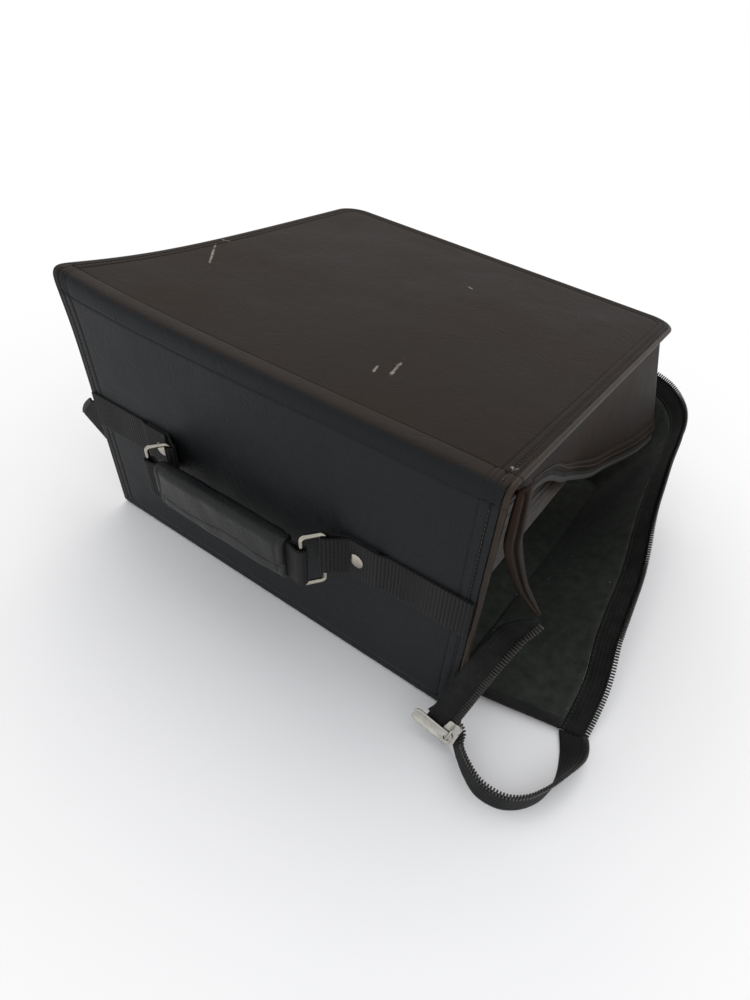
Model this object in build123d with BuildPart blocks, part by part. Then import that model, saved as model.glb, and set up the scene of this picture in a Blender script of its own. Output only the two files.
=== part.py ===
from build123d import *

import os
from math import atan2, cos, degrees, hypot, radians, sin, tan

os.makedirs("parts", exist_ok=True)

# A large zip-up case for discs in sleeves, lying on its back cover with the zip undone.
# The origin is the centre of the back cover's underside. +X runs along the spine to its right
# end, +Y from the spine to the far side, +Z up. Millimetres.

# Covers and spine
spine_length = 340.0
cover_depth = 330.0
spine_rise = 201.5
spine_lean = 16.8
cover_droop = 18.0
corner_radius = 22.0

# Layers of each wall, from the outside in, and the glue line between them
skin_thickness = 1.2
board_thickness = 3.0
lining_thickness = 0.9
bond = 0.15

# Edge bead round each cover, and how far the layers stay from the fold lines
piping_radius = 1.9
piping_gap = 0.3
skin_fold_gap = 0.6
board_fold_gap = 2.2
fold_clearance = 0.8
bead_fold_gap = 4.8
bead_sides = 8
wire_sides = 8

# Soft walls that the zip closes: fabric width, zip tape and chain
gusset_inset = 8.0
gusset_thickness = 1.2
gusset_lining_thickness = 0.8
lower_fabric_width = 80.0
upper_fabric_width = 78.0
tape_width = 15.5
tape_thickness = 1.0
chain_width = 3.0
chain_thickness = 2.4
seam_gap = 0.15
twist_gap = 0.6

# Carrying straps, rings and handle
strap_width = 30.0
strap_thickness = 1.6
strap_height = 101.0
loop_spacing = 138.0
loop_stand_off = 10.0
ring_wire_radius = 1.6
ring_reach = 15.0
ring_lean = 37.0
ring_opening = 39.0
ring_corner = 3.0
ring_edge_gap = 0.8
rivet_setback = 19.0
rivet_shank_radius = 2.0
rivet_head_radius = 5.3
rivet_head_height = 1.8
grip_length = 116.0
grip_height = 36.0
grip_thickness = 11.0
grip_round = 4.5

# Sleeves, bound in three bundles on a strip inside the spine, with room left at their sides
# and at the far side for the soft walls and the zip
sleeve_side_room = 18.0
sleeve_end_room = 44.0
sleeve_width = spine_length - 2 * sleeve_side_room
sleeve_depth = cover_depth - sleeve_end_room
sleeve_thickness = 1.8
sleeve_corner = 8.0
sleeves_per_bundle = 6
bound_pitch = 3.9
free_pitch = 2.1
stack_base = 79.0
binding_thickness = 1.2
strip_thickness = 2.0
strip_margin = 3.0
running_gap = 0.3

# Slider and pull tab
slider_width = 12.0
slider_length = 15.0
plate_thickness = 1.0
channel_gap = 2.9
rim_height = 0.7
rim_thickness = 1.1
wedge_width = 3.4
bridge_wire_radius = 0.75
bridge_span = 9.0
bridge_rise = 4.2
tab_length = 29.0
tab_width = 9.0
tab_thickness = 1.2
tab_hole_radius = 2.0

# Derived places
half_length = spine_length / 2
near_y = -cover_depth / 2
far_y = cover_depth / 2
ridge_y = near_y - spine_lean
ridge_far_y = ridge_y + cover_depth
lean_angle = atan2(spine_lean, spine_rise)
spine_height = hypot(spine_lean, spine_rise)
board_low = skin_thickness + bond
board_high = board_low + board_thickness
lining_low = board_high + bond
lining_high = lining_low + lining_thickness
layer_inset = 2 * piping_radius + piping_gap
piping_depth = piping_radius + 0.2
spine_edge = lining_high + fold_clearance

along_x = Vector(1, 0, 0)
spine_up = Vector(0, -sin(lean_angle), cos(lean_angle))
spine_out = Vector(0, -cos(lean_angle), -sin(lean_angle))


def on_spine(x, height, outward):
    """Point at x along the spine, a height up its outer face and a distance out from it."""
    return Vector(x, near_y, 0) + spine_up * height + spine_out * outward


def cover_top(x, y):
    """Height of the front cover's outer face, which droops towards its far right corner."""
    along = (x + half_length) / spine_length
    across = (y - ridge_y) / cover_depth
    return spine_rise - cover_droop * along * across


def save(piece, name):
    """Labels a finished piece and writes it under its own name."""
    piece.part.label = name
    export_step(piece.part, f"parts/{name}.step")


def rim(inset, start_y, end_y, turns):
    """Points round a cover's three zipped sides with their outward bearing, from the right."""
    radius = corner_radius - inset
    centre_x, centre_y = half_length - corner_radius, end_y - corner_radius
    points = [(half_length - inset, start_y, 0)]
    for turn in turns:
        a = radians(turn)
        points.append((centre_x + radius * cos(a), centre_y + radius * sin(a), turn))
    left = [(-x, y, 180 - turn) for x, y, turn in reversed(points)]
    return points + left


def panel_outline(inset, start_y, end_y):
    """Outline of a cover's layer: square at the spine, rounded at the two far corners."""
    with BuildSketch() as outline:
        with Locations((0, (start_y + end_y - inset) / 2)):
            Rectangle(spine_length - 2 * inset, end_y - inset - start_y)
        fillet(outline.vertices().group_by(Axis.Y)[-1], corner_radius - inset)
    return outline.sketch


def back_panel(name, low, high, inset, fold_gap):
    """A flat layer of the back cover."""
    with BuildPart() as panel:
        with BuildSketch(Plane.XY.offset(low)):
            add(panel_outline(inset, near_y + fold_gap, far_y))
        extrude(amount=high - low)
    save(panel, name)


def front_panel(name, low, high, inset, fold_gap):
    """A layer of the front cover, low and high being depths under its drooping outer face."""
    start_y = ridge_y + fold_gap
    with BuildPart() as panel:
        for x in (-half_length, half_length):
            with BuildSketch(Plane(origin=(x, 0, 0), x_dir=(0, 1, 0), z_dir=(1, 0, 0))):
                Polygon(
                    (start_y, cover_top(x, start_y) - low),
                    (start_y, cover_top(x, start_y) - high),
                    (ridge_far_y, cover_top(x, ridge_far_y) - high),
                    (ridge_far_y, cover_top(x, ridge_far_y) - low),
                )
        loft(ruled=True)
        with BuildSketch(Plane.XY.offset(spine_rise - 2 * (cover_droop + high))):
            add(panel_outline(inset, start_y, ridge_far_y))
        extrude(amount=2 * (cover_droop + high) + 1, mode=Mode.INTERSECT)
    return panel


def bead(name, points):
    """A round bead through points, each with the direction in which the bead runs there."""
    with BuildPart() as welt:
        for point, direction in points:
            with BuildSketch(Plane(origin=point, x_dir=(0, 0, 1), z_dir=direction)):
                RegularPolygon(piping_radius, bead_sides)
        loft(ruled=True)
    save(welt, name)


class Station:
    """A place along a strip of fabric: its root, the way across it and the way along it."""

    def __init__(self, root, across, along, width):
        self.root, self.width = Vector(*root), width
        self.across = Vector(*across).normalized()
        self.inside = self.across.cross(Vector(*along)).normalized()
        ahead = self.inside.cross(self.across)
        self.plane = Plane(origin=self.root, x_dir=self.across, z_dir=-ahead)


def facet(*corners):
    """A flat face through its corners."""
    return Face(Wire.make_polygon([Vector(corner) for corner in corners]))


def strip(stations, near, far, low, high):
    """Fabric that runs through its stations, from near to far across it and low to high
    towards its inside, folded along lines between them so that each facet stays flat. near
    and far are functions of a station."""
    sections = []
    for station in stations:
        start, end = near(station), far(station)
        corners = ((start, low), (end, low), (end, high), (start, high))
        sections.append([station.plane.from_local_coords((x, y, 0)) for x, y in corners])
    facets = [facet(*sections[0]), facet(*sections[-1])]
    for here, ahead in zip(sections, sections[1:]):
        for corner, following in ((0, 1), (1, 2), (3, 2), (0, 3)):
            facets.append(facet(here[corner], ahead[following], here[following]))
            facets.append(facet(here[corner], ahead[corner], ahead[following]))
    with BuildPart() as fabric:
        add(Solid(Shell(facets)))
    return fabric


# Back cover: leatherette skin, board, lining and edge bead
back_panel("back_skin", 0, skin_thickness, layer_inset, skin_fold_gap)
back_panel("back_board", board_low, board_high, layer_inset, board_fold_gap)
lining_inset = gusset_inset + gusset_thickness + gusset_lining_thickness + 4 * bond
back_panel("back_lining", lining_low, lining_high, lining_inset, board_fold_gap)


def bead_path(rim_points, height_at):
    """Points and directions of a bead that follows a cover's rim at a given height."""
    path = []
    for x, y, bearing in rim_points:
        a = radians(bearing)
        path.append((Vector(x, y, height_at(x, y)), Vector(-sin(a), cos(a), 0)))
    return path


bead_turns = range(0, 91, 15)
bead("back_piping", bead_path(
    rim(piping_radius, near_y + bead_fold_gap, far_y, bead_turns), lambda x, y: piping_depth))

# Front cover: the same layers on a board that has warped down at its far right corner
front_skin = front_panel("front_skin", 0, skin_thickness, layer_inset, skin_fold_gap)
save(front_skin, "front_skin")
front_board = front_panel("front_board", board_low, board_high, layer_inset, board_fold_gap)
save(front_board, "front_board")
front_lining = front_panel(
    "front_lining", lining_low, lining_high, lining_inset, board_fold_gap)
save(front_lining, "front_lining")
bead("front_piping", bead_path(
    rim(piping_radius, ridge_y + bead_fold_gap, ridge_far_y, bead_turns),
    lambda x, y: cover_top(x, y) - piping_depth))

# Lower gusset: flopped out flat at the right of the spine, rising round the far side. Each
# place has its distance from the spine, its bearing, how far it leans up from level and how
# wide it spans there: less than the full fabric where it sags, and more at the far side, where
# it is cut wider
lower_root_z = lining_low + bond * 2
corner_turns = (0, 30, 60, 90)
hem_start = 18.0
hem_bearing = 12.7
hem_span = 0.9 * lower_fabric_width
hem_slope = -degrees(atan2(lower_root_z - 0.25, hem_span + tape_width))
rise_places = [
    (62, 5, 7, 0.88), (101, 0, 20.8, 0.85), (166, 0, 32.6, 0.85), (204, 0, 45.8, 0.91),
    (254, 0, 55.6, 0.98)]
corner_places = [(61, 1.04), (62, 1.12), (64, 1.2), (66, 1.22)]
left_corner_places = [(68, 1.22), (72, 1.2), (78, 1.12), (84, 1.0)]
left_end_y = near_y + 9
right_x = half_length - gusset_inset


def lower_station(x, y, bearing, lean, width):
    """A station of the lower gusset that leans up from level by so many degrees."""
    a, rise = radians(bearing), radians(lean)
    across = (cos(rise) * cos(a), cos(rise) * sin(a), sin(rise))
    return Station((x, y, lower_root_z), across, (-sin(a), cos(a), 0), width)


lower_rim = rim(gusset_inset, near_y + hem_start, far_y, corner_turns)
lower_stations = [
    lower_station(right_x, near_y + hem_start, hem_bearing, hem_slope, hem_span)]
for place, bearing, lean, share in rise_places:
    lower_stations.append(lower_station(
        right_x, near_y + place, bearing, lean, share * lower_fabric_width))
for (x, y, bearing), (lean, share) in zip(lower_rim[1:9], corner_places + left_corner_places):
    lower_stations.append(lower_station(x, y, bearing, lean, share * lower_fabric_width))
lower_stations.append(lower_station(-right_x, left_end_y, 180, 86, lower_fabric_width))

tape_low = (gusset_thickness - tape_thickness) / 2
chain_low = tape_low + (tape_thickness - chain_thickness) / 2 + 0.9
lining_offset = gusset_thickness + bond


def root_edge(station):
    return 0


def hem(station):
    return station.width


def tape_start(station):
    return station.width + seam_gap


def tape_end(station):
    return station.width + seam_gap + tape_width


def chain_start(station):
    return tape_end(station) + seam_gap


def chain_end(station):
    return tape_end(station) + seam_gap + chain_width


def tail_chain_start(station):
    return station.width + twist_gap


def tail_chain_end(station):
    return tail_chain_start(station) + chain_width


lower_gusset = strip(lower_stations, root_edge, hem, 0, gusset_thickness)
save(lower_gusset, "lower_gusset")
lower_gusset_lining = strip(
    lower_stations, root_edge, hem, lining_offset, lining_offset + gusset_lining_thickness)
save(lower_gusset_lining, "lower_gusset_lining")
lower_zip_tape = strip(
    lower_stations, tape_start, tape_end, tape_low, tape_low + tape_thickness)
save(lower_zip_tape, "lower_zip_tape")

# Free end of the lower zip half: it leaves the gusset flat, then stands on its plain edge
# in a loop on the ground and comes back to the slider. Each place is given beyond the spine's
# right end and past its foot, with the tape's way up there
tail_places = [
    ((69.5, 18.0), (0.80, 0.10, 0.50)),
    ((73.5, -3.0), (0.25, -0.12, 0.95)),
    ((71.0, -19.0), (0.05, -0.08, 1.0)),
    ((63.0, -31.0), (0.02, -0.02, 1.0)),
    ((51.0, -39.0), (0.0, 0.0, 1.0)),
    ((38.0, -40.0), (0.0, 0.0, 1.0)),
    ((26.0, -33.5), (0.02, -0.02, 1.0)),
    ((16.5, -25.5), (0.05, -0.08, 1.0)),
]
tail_floor = 0.3
hem_end = lower_stations[0]
hem_along = Vector(-sin(radians(hem_bearing)), cos(radians(hem_bearing)), 0)
tail_spots = [
    hem_end.root + hem_end.across * tape_start(hem_end) + hem_end.inside * tape_low
    - hem_along * seam_gap]
tail_ways = [hem_end.across]
for (x, y), way in tail_places:
    tail_spots.append(Vector(half_length + x, near_y + y, tail_floor))
    tail_ways.append(Vector(*way))
tail_stations = [Station(tuple(tail_spots[0]), tuple(tail_ways[0]), tuple(hem_along), tape_width)]
for i in range(1, len(tail_spots)):
    ahead = tail_spots[min(i + 1, len(tail_spots) - 1)]
    along = tail_spots[i - 1] - ahead
    tail_stations.append(
        Station(tuple(tail_spots[i]), tuple(tail_ways[i]), tuple(along), tape_width))

lower_zip_tail = strip(tail_stations, root_edge, hem, 0, tape_thickness)
save(lower_zip_tail, "lower_zip_tail")
tail_chain_low = (tape_thickness - chain_thickness) / 2 + 0.9
lower_zip_chain = strip(
    lower_stations, chain_start, chain_end, chain_low, chain_low + chain_thickness)
save(lower_zip_chain, "lower_zip_chain")
lower_tail_chain = strip(
    tail_stations, tail_chain_start, tail_chain_end, tail_chain_low, tail_chain_low + chain_thickness)
save(lower_tail_chain, "lower_tail_chain")

# Upper gusset: hangs from the front cover, tucked up beside the spine and flared out towards
# the far right corner. Each place has its distance from the spine, the fabric width that
# shows and the angle at which it hangs below level
hang_places = [(-4, 12, 26), (14, 12, 50), (30, 12, 84), (75, 22, 90), (130, 50, 90), (200, 74, 85), (272, 78, 75)]
hang_corner = [74, 76, 80, 86]
upper_root_depth = board_high + gusset_thickness + bond * 2
upper_left_start = 16.0


def upper_station(x, y, bearing, drop, width):
    """A station of the upper gusset that hangs so many degrees below level."""
    a, fall = radians(bearing), radians(drop)
    across = (cos(fall) * cos(a), cos(fall) * sin(a), -sin(fall))
    root = (x, y, cover_top(x, y) - upper_root_depth)
    return Station(root, across, (-sin(a), cos(a), 0), width)


upper_rim = rim(gusset_inset, ridge_y + upper_left_start, ridge_far_y, corner_turns)
upper_stations = [
    upper_station(right_x, near_y + place, 0, drop, width)
    for place, width, drop in hang_places]
for (x, y, bearing), drop in zip(upper_rim[1:5], hang_corner):
    upper_stations.append(upper_station(x, y, bearing, drop, upper_fabric_width))
for x, y, bearing in upper_rim[5:]:
    upper_stations.append(upper_station(x, y, bearing, 90, upper_fabric_width))

taped_stations = upper_stations[2:]
upper_zip_tape = strip(
    taped_stations, tape_start, tape_end, tape_low, tape_low + tape_thickness)
save(upper_zip_tape, "upper_zip_tape")
upper_zip_chain = strip(
    taped_stations, chain_start, chain_end, tape_thickness - chain_low - chain_thickness,
    tape_thickness - chain_low)
save(upper_zip_chain, "upper_zip_chain")
upper_gusset_lining = strip(
    upper_stations[1:], root_edge, hem, -bond - gusset_lining_thickness, -bond)
save(upper_gusset_lining, "upper_gusset_lining")

# The end of the upper gusset hangs down beside the spine as a folded, pointed flap. Its levels
# give height, middle and half sizes across and along
flap_levels = [
    (193.0, 3.8, -1.0, 2.6, 9.0),
    (158.0, 5.5, 2.5, 4.3, 11.0),
    (130.0, 12.0, 7.5, 4.5, 8.0),
    (103.0, 24.5, 20.0, 1.4, 2.4),
]
with BuildPart() as flap:
    for level, beyond_spine, past_foot, half_x, half_y in flap_levels:
        x, y = half_length + beyond_spine, near_y + past_foot
        with BuildSketch(Plane.XY.offset(level)):
            Polygon((x - half_x, y - half_y), (x + half_x, y - half_y / 3),
                    (x + half_x, y + half_y), (x - half_x / 2, y + half_y / 2))
    loft(ruled=True)
upper_panel = strip(upper_stations, root_edge, hem, 0, gusset_thickness)
with BuildPart() as upper_gusset:
    add(upper_panel.part)
    add(flap.part)
save(upper_gusset, "upper_gusset")

# Spine: board, skin and lining on a wall that leans out, with a bead sewn into each end
spine_face = Plane(origin=(0, near_y, 0), x_dir=(1, 0, 0), z_dir=tuple(spine_out))
loop_x = loop_spacing / 2
rivet_x = loop_x + rivet_setback
rivet_places = [(-rivet_x, strap_height), (rivet_x, strap_height)]
rivet_hole_radius = rivet_shank_radius + bond
skin_low = skin_fold_gap + fold_clearance


def spine_layer(name, low, high, fold):
    """A layer of the spine from low to high inside its outer face, pierced for the rivets."""
    with BuildPart() as layer:
        with BuildSketch(spine_face.offset(-high)):
            with Locations((0, spine_height / 2)):
                Rectangle(spine_length - 2 * layer_inset, spine_height - 2 * fold)
            with Locations(*rivet_places):
                Circle(rivet_hole_radius, mode=Mode.SUBTRACT)
        extrude(amount=high - low)
    save(layer, name)


spine_layer("spine_skin", 0, skin_thickness, skin_low)
spine_layer("spine_board", board_low, board_high, spine_edge)
spine_layer("spine_lining", lining_low, lining_high, spine_edge)
with BuildPart() as spine_piping:
    for side in (-1, 1):
        foot = on_spine(side * (half_length - piping_radius), skin_low, -piping_depth)
        with BuildSketch(Plane(origin=foot, x_dir=(1, 0, 0), z_dir=tuple(spine_up))):
            RegularPolygon(piping_radius, bead_sides)
    extrude(amount=spine_height - 2 * skin_low)
save(spine_piping, "spine_piping")

# Straps: webbing sewn into the spine's end seam, folded back round a ring and riveted
strap_end = half_length - layer_inset
strap_rest = bond + strap_thickness / 2
ply_pitch = strap_thickness + bond
loop_radius = ring_wire_radius + bond * 3 + strap_thickness / 2
ply_tail = rivet_x + 14


def edge_plane(x, height, outward):
    """Plane across the spine's face: x along the spine, y outward, and so on edge to it."""
    return Plane(origin=on_spine(x, height, outward), x_dir=(1, 0, 0), z_dir=tuple(-spine_up))


def strap(name, side):
    """One strap, side being +1 at the right end of the spine and -1 at the left."""
    turn = loop_radius * 0.98
    with BuildPart() as webbing:
        with BuildSketch(edge_plane(0, strap_height, 0)):
            with BuildLine():
                FilletPolyline(
                    (side * strap_end, strap_rest),
                    (side * (ply_tail + 8), strap_rest),
                    (side * (ply_tail + 1), strap_rest + ply_pitch),
                    (side * (rivet_x - 6), strap_rest + ply_pitch),
                    (side * (loop_x + 1), loop_stand_off + loop_radius),
                    (side * (loop_x - loop_radius), loop_stand_off + loop_radius),
                    (side * (loop_x - loop_radius), loop_stand_off - loop_radius),
                    (side * (loop_x + 1), loop_stand_off - loop_radius),
                    (side * (rivet_x - 7), strap_rest),
                    (side * ply_tail, strap_rest),
                    radius=[2, 2, 2, 2, turn, turn, 2, 2],
                )
            trace(line_width=strap_thickness)
        extrude(amount=strap_width / 2, both=True)
        with BuildSketch(spine_face.offset(-1)):
            with Locations((side * rivet_x, strap_height)):
                Circle(rivet_hole_radius)
        extrude(amount=10, mode=Mode.SUBTRACT)
    save(webbing, name)


strap("left_strap", -1)
strap("right_strap", 1)

# Rivets: a domed cap outside, a shank through straps, skin, board and lining, and a washer
rivet_seat = strap_rest + ply_pitch + strap_thickness / 2 + bond / 2
rivet_rim_height = 0.5
dome_rise = rivet_head_height - rivet_rim_height
dome_radius = (rivet_head_radius ** 2 + dome_rise ** 2) / (2 * dome_rise)
dome_top = rivet_seat + rivet_head_height
dome_middle = dome_top - dome_radius + (dome_radius ** 2 - rivet_head_radius ** 2 / 4) ** 0.5
washer_radius = rivet_head_radius - 1
washer_thickness = 1.0
washer_seat = -lining_high - bond / 2
with BuildPart() as rivets:
    for side in (-1, 1):
        with BuildSketch(edge_plane(side * rivet_x, strap_height, 0)):
            with BuildLine():
                Polyline(
                    (0, dome_top), (0, washer_seat - washer_thickness),
                    (washer_radius, washer_seat - washer_thickness),
                    (washer_radius, washer_seat), (rivet_shank_radius, washer_seat),
                    (rivet_shank_radius, rivet_seat), (rivet_head_radius, rivet_seat),
                    (rivet_head_radius, rivet_seat + rivet_rim_height))
                ThreePointArc(
                    (rivet_head_radius, rivet_seat + rivet_rim_height),
                    (rivet_head_radius / 2, dome_middle), (0, dome_top))
            make_face()
        revolve(axis=Axis(on_spine(side * rivet_x, strap_height, 0), spine_out))
save(rivets, "strap_rivets")

# Rings: rectangular wire rings that carry the handle and swing in the strap loops
swing = radians(ring_lean)
ring_way = along_x * -sin(swing) + spine_out * cos(swing)
ring_drop = (ring_opening - strap_width) / 2 - ring_edge_gap
ring_half = ring_opening / 2 + ring_wire_radius
ring_height = strap_height - ring_drop
for name, side in (("left_ring", -1), ("right_ring", 1)):
    inner_bar = on_spine(side * loop_x, ring_height, loop_stand_off)
    ring_plane = Plane(origin=inner_bar, x_dir=tuple(ring_way),
                       z_dir=tuple(ring_way.cross(spine_up)))
    with BuildPart() as ring:
        with BuildLine(ring_plane):
            FilletPolyline(
                (0, 0), (0, ring_half), (ring_reach, ring_half), (ring_reach, -ring_half),
                (0, -ring_half), radius=[0] + 4 * [ring_corner], close=True)
        with BuildSketch(Plane(
                origin=inner_bar, x_dir=tuple(ring_way), z_dir=tuple(spine_up))):
            RegularPolygon(ring_wire_radius, wire_sides)
        sweep()
    save(ring, name)

# Handle: a band of webbing round both rings inside a leatherette grip with a foam core
handle_height = ring_height - ring_drop
handle_middle = on_spine(-sin(swing) * ring_reach, handle_height,
                         loop_stand_off + cos(swing) * ring_reach)
handle_plane = Plane(origin=handle_middle, x_dir=(1, 0, 0), z_dir=tuple(-spine_up))
ply_offset = strap_thickness / 2 + bond
ply_gap = 6.0
with BuildPart() as handle_webbing:
    with BuildSketch(handle_plane):
        with BuildLine():
            FilletPolyline(
                (-ply_gap / 2, -ply_offset),
                (-loop_x + 10, -ply_offset),
                (-loop_x + 2, -loop_radius),
                (-loop_x - loop_radius, -loop_radius),
                (-loop_x - loop_radius, loop_radius),
                (-loop_x + 2, loop_radius),
                (-loop_x + 10, ply_offset),
                (loop_x - 10, ply_offset),
                (loop_x - 2, loop_radius),
                (loop_x + loop_radius, loop_radius),
                (loop_x + loop_radius, -loop_radius),
                (loop_x - 2, -loop_radius),
                (loop_x - 10, -ply_offset),
                (ply_gap / 2, -ply_offset),
                radius=[2, 2, loop_radius * 0.98, loop_radius * 0.98, 2, 2,
                        2, 2, loop_radius * 0.98, loop_radius * 0.98, 2, 2],
            )
        trace(line_width=strap_thickness)
    extrude(amount=strap_width / 2, both=True)
save(handle_webbing, "handle_webbing")

core_thickness = 2 * (ply_offset + strap_thickness / 2 + bond)
core_height = strap_width + 2 * bond
grip_section = Plane(origin=handle_middle, x_dir=tuple(spine_out), z_dir=(1, 0, 0))
foam_thickness = 2.0
with BuildPart() as handle_core:
    with BuildSketch(grip_section):
        Rectangle(core_thickness + 2 * foam_thickness, core_height)
        Rectangle(core_thickness, core_height, mode=Mode.SUBTRACT)
    extrude(amount=grip_length / 2 - 4, both=True)
save(handle_core, "handle_core")
with BuildPart() as handle_grip:
    with BuildSketch(grip_section):
        RectangleRounded(grip_thickness, grip_height, grip_round)
        Rectangle(core_thickness + 2 * foam_thickness + 2 * bond, core_height + 2 * bond,
                  mode=Mode.SUBTRACT)
    extrude(amount=grip_length / 2, both=True)
save(handle_grip, "handle_grip")

# Sleeves: bundles of flat sleeves, each bundle sewn to a tape that hinges on a strip glued
# inside the spine. They fan out at the spine and lie close together at their free edge
bundle_rise = sleeves_per_bundle * bound_pitch
fan = (bound_pitch - free_pitch) / sleeve_depth
strip_low = stack_base / cos(lean_angle) - strip_margin
strip_high = (stack_base + 3 * bundle_rise) / cos(lean_angle) + strip_margin
with BuildPart() as binding_strip:
    with BuildSketch(spine_face.offset(-lining_high - bond - strip_thickness)):
        with Locations((0, (strip_low + strip_high) / 2)):
            Rectangle(sleeve_width, strip_high - strip_low)
        with Locations(*rivet_places):
            Circle(washer_radius + bond * 2, mode=Mode.SUBTRACT)
    extrude(amount=strip_thickness)
save(binding_strip, "binding_strip")
strip_face = (lining_high + bond + strip_thickness) / cos(lean_angle)


def binding_face(z):
    """Distance from the spine's foot to the strip's inner face at height z."""
    return near_y + strip_face - z * tan(lean_angle)


for index, name in enumerate(("bottom", "middle", "top")):
    base = stack_base + index * bundle_rise
    tape_front = binding_face(base) + running_gap
    with BuildPart() as tape:
        with BuildSketch(Plane(origin=(0, tape_front, base), x_dir=(0, 1, 0), z_dir=(1, 0, 0))):
            slant = bundle_rise * tan(lean_angle)
            rise = bundle_rise - running_gap
            Polygon((0, 0), (binding_thickness, 0), (binding_thickness - slant, rise),
                    (-slant, rise))
        extrude(amount=sleeve_width / 2, both=True)
    save(tape, f"{name}_sleeve_binding")
    with BuildPart() as sleeves:
        for leaf in range(sleeves_per_bundle):
            order = index * sleeves_per_bundle + leaf
            slope = -atan2(fan * sleeve_depth * order, sleeve_depth)
            edge = base + leaf * bound_pitch + 0.6
            start = binding_face(edge) + running_gap + binding_thickness + bond
            bed = Plane(origin=(0, start, edge), x_dir=(1, 0, 0),
                        z_dir=(0, -sin(slope), cos(slope)))
            with BuildSketch(bed) as leaf_outline:
                with Locations((0, sleeve_depth / 2)):
                    Rectangle(sleeve_width, sleeve_depth)
                fillet(leaf_outline.vertices().group_by(Axis.Y)[-1], sleeve_corner)
            extrude(amount=sleeve_thickness)
    save(sleeves, f"{name}_sleeves")

# Free end of the upper zip half, which hangs from the flap's tip past the spine's lower right
# corner. Its lower run is straight, and the slider rides there
tail_foot = Vector(half_length - 3.5, near_y - 25.0, 11.5)
tail_knee = Vector(half_length + 7.6, near_y - 5.4, 61.0)
tail_head = Vector(half_length + 20.0, near_y + 22.5, 96.0)
tail_run = (tail_knee - tail_foot).normalized()
level = Vector(0.96, 0, -0.27)
tail_across = (level - tail_run * level.dot(tail_run)).normalized()
tail_out = tail_across.cross(tail_run)
upper_tail_stations = []
for middle, way, run in (
        (tail_head, Vector(0.9, 0.0, 0.42), tail_head - tail_knee),
        (tail_knee, tail_across, tail_run),
        (tail_foot, tail_across, tail_run)):
    start = middle - way.normalized() * (tape_width / 2)
    upper_tail_stations.append(Station(tuple(start), tuple(way), tuple(run), tape_width))
half_tape = tape_thickness / 2
half_chain = chain_thickness / 2
upper_zip_tail = strip(upper_tail_stations, root_edge, hem, -half_tape, half_tape)
save(upper_zip_tail, "upper_zip_tail")
upper_tail_chain = strip(
    upper_tail_stations, tail_chain_start, tail_chain_end, -half_chain, half_chain)
save(upper_tail_chain, "upper_tail_chain")

# Last piece of the lower zip half, which crosses behind the upper one at the slider
end_stations = []
for spot, way in (((10.5, -19.5, 3.0), (0.05, 0.1, 1.0)), ((-12.5, -15.5, 13.0), (0.22, 0.1, 0.97))):
    start = Vector(half_length + spot[0], near_y + spot[1], spot[2])
    end_stations.append(Station(tuple(start), way, (1, 0, -0.4), tape_width))
lower_tail_end = strip(end_stations, root_edge, hem, 0, tape_thickness)
save(lower_tail_end, "lower_tail_end")

# Slider: two plates joined by a wedge, with rims that hold the tapes, on the upper chain
chain_middle = tail_foot + tail_across * (tape_width / 2 + twist_gap + chain_width / 2)
slider_centre = chain_middle + tail_run * (slider_length / 2 + 0.5)
slider_plane = Plane(origin=slider_centre, x_dir=tuple(tail_across), z_dir=tuple(tail_out))
plate_low = channel_gap / 2
with BuildPart() as slider_body:
    for face, way in ((slider_plane.offset(plate_low), 1), (slider_plane.offset(-plate_low), -1)):
        with BuildSketch(face) as plate:
            Trapezoid(slider_width, slider_length, 83)
            fillet(plate.vertices(), 1.4)
        extrude(amount=way * plate_thickness)
        with BuildSketch(face):
            for side in (-1, 1):
                with Locations((side * (slider_width / 2 - rim_thickness), -slider_length / 6)):
                    Rectangle(rim_thickness, slider_length / 2)
        extrude(amount=-way * rim_height)
    with BuildSketch(slider_plane.offset(-plate_low)):
        with Locations((chain_width / 2 + bond * 2 + wedge_width / 2, slider_length / 3.4)):
            Rectangle(wedge_width, slider_length / 4)
    extrude(amount=channel_gap)
save(slider_body, "slider_body")

# Bridge on the slider and the pull tab that swings on its lower leg
bridge_seat = plate_low + plate_thickness + 0.05
bridge_plane = Plane(origin=slider_centre, x_dir=tuple(tail_run), z_dir=tuple(tail_across))
with BuildPart() as slider_bridge:
    with BuildLine(bridge_plane):
        FilletPolyline(
            (-bridge_span / 2, bridge_seat), (-bridge_span / 2, bridge_seat + bridge_rise),
            (bridge_span / 2, bridge_seat + bridge_rise), (bridge_span / 2, bridge_seat),
            radius=bridge_rise / 2)
    with BuildSketch(Plane(
            origin=slider_centre - tail_run * (bridge_span / 2) + tail_out * bridge_seat,
            x_dir=tuple(tail_run), z_dir=tuple(tail_out))):
        RegularPolygon(bridge_wire_radius, wire_sides)
    sweep()
save(slider_bridge, "slider_bridge")

tab_lift = bridge_seat + 0.8
tab_plane = Plane(
    origin=slider_centre - tail_run * (bridge_span / 2) + tail_out * tab_lift,
    x_dir=tuple(-tail_across), z_dir=tuple(tail_out))
with BuildPart() as pull_tab:
    with BuildSketch(tab_plane) as tab_outline:
        with Locations((tab_length / 2 - tab_hole_radius - 1.6, 0)):
            RectangleRounded(tab_length, tab_width, 3.0)
        Circle(tab_hole_radius, mode=Mode.SUBTRACT)
    extrude(amount=tab_thickness)
save(pull_tab, "pull_tab")

# Left end of the zip: both tapes folded together and sewn, standing out past the spine
fold_out = 36.0
with BuildPart() as left_zip_end:
    with BuildSketch(Plane(
            origin=(0, left_end_y - bond, 0), x_dir=(1, 0, 0), z_dir=(0, -1, 0))):
        Polygon(
            (-half_length + 4, 44), (-half_length - fold_out, 70),
            (-half_length - fold_out + 6, 82), (-half_length + 4, 100))
    extrude(amount=2 * tape_thickness)
save(left_zip_end, "left_zip_end")

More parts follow.
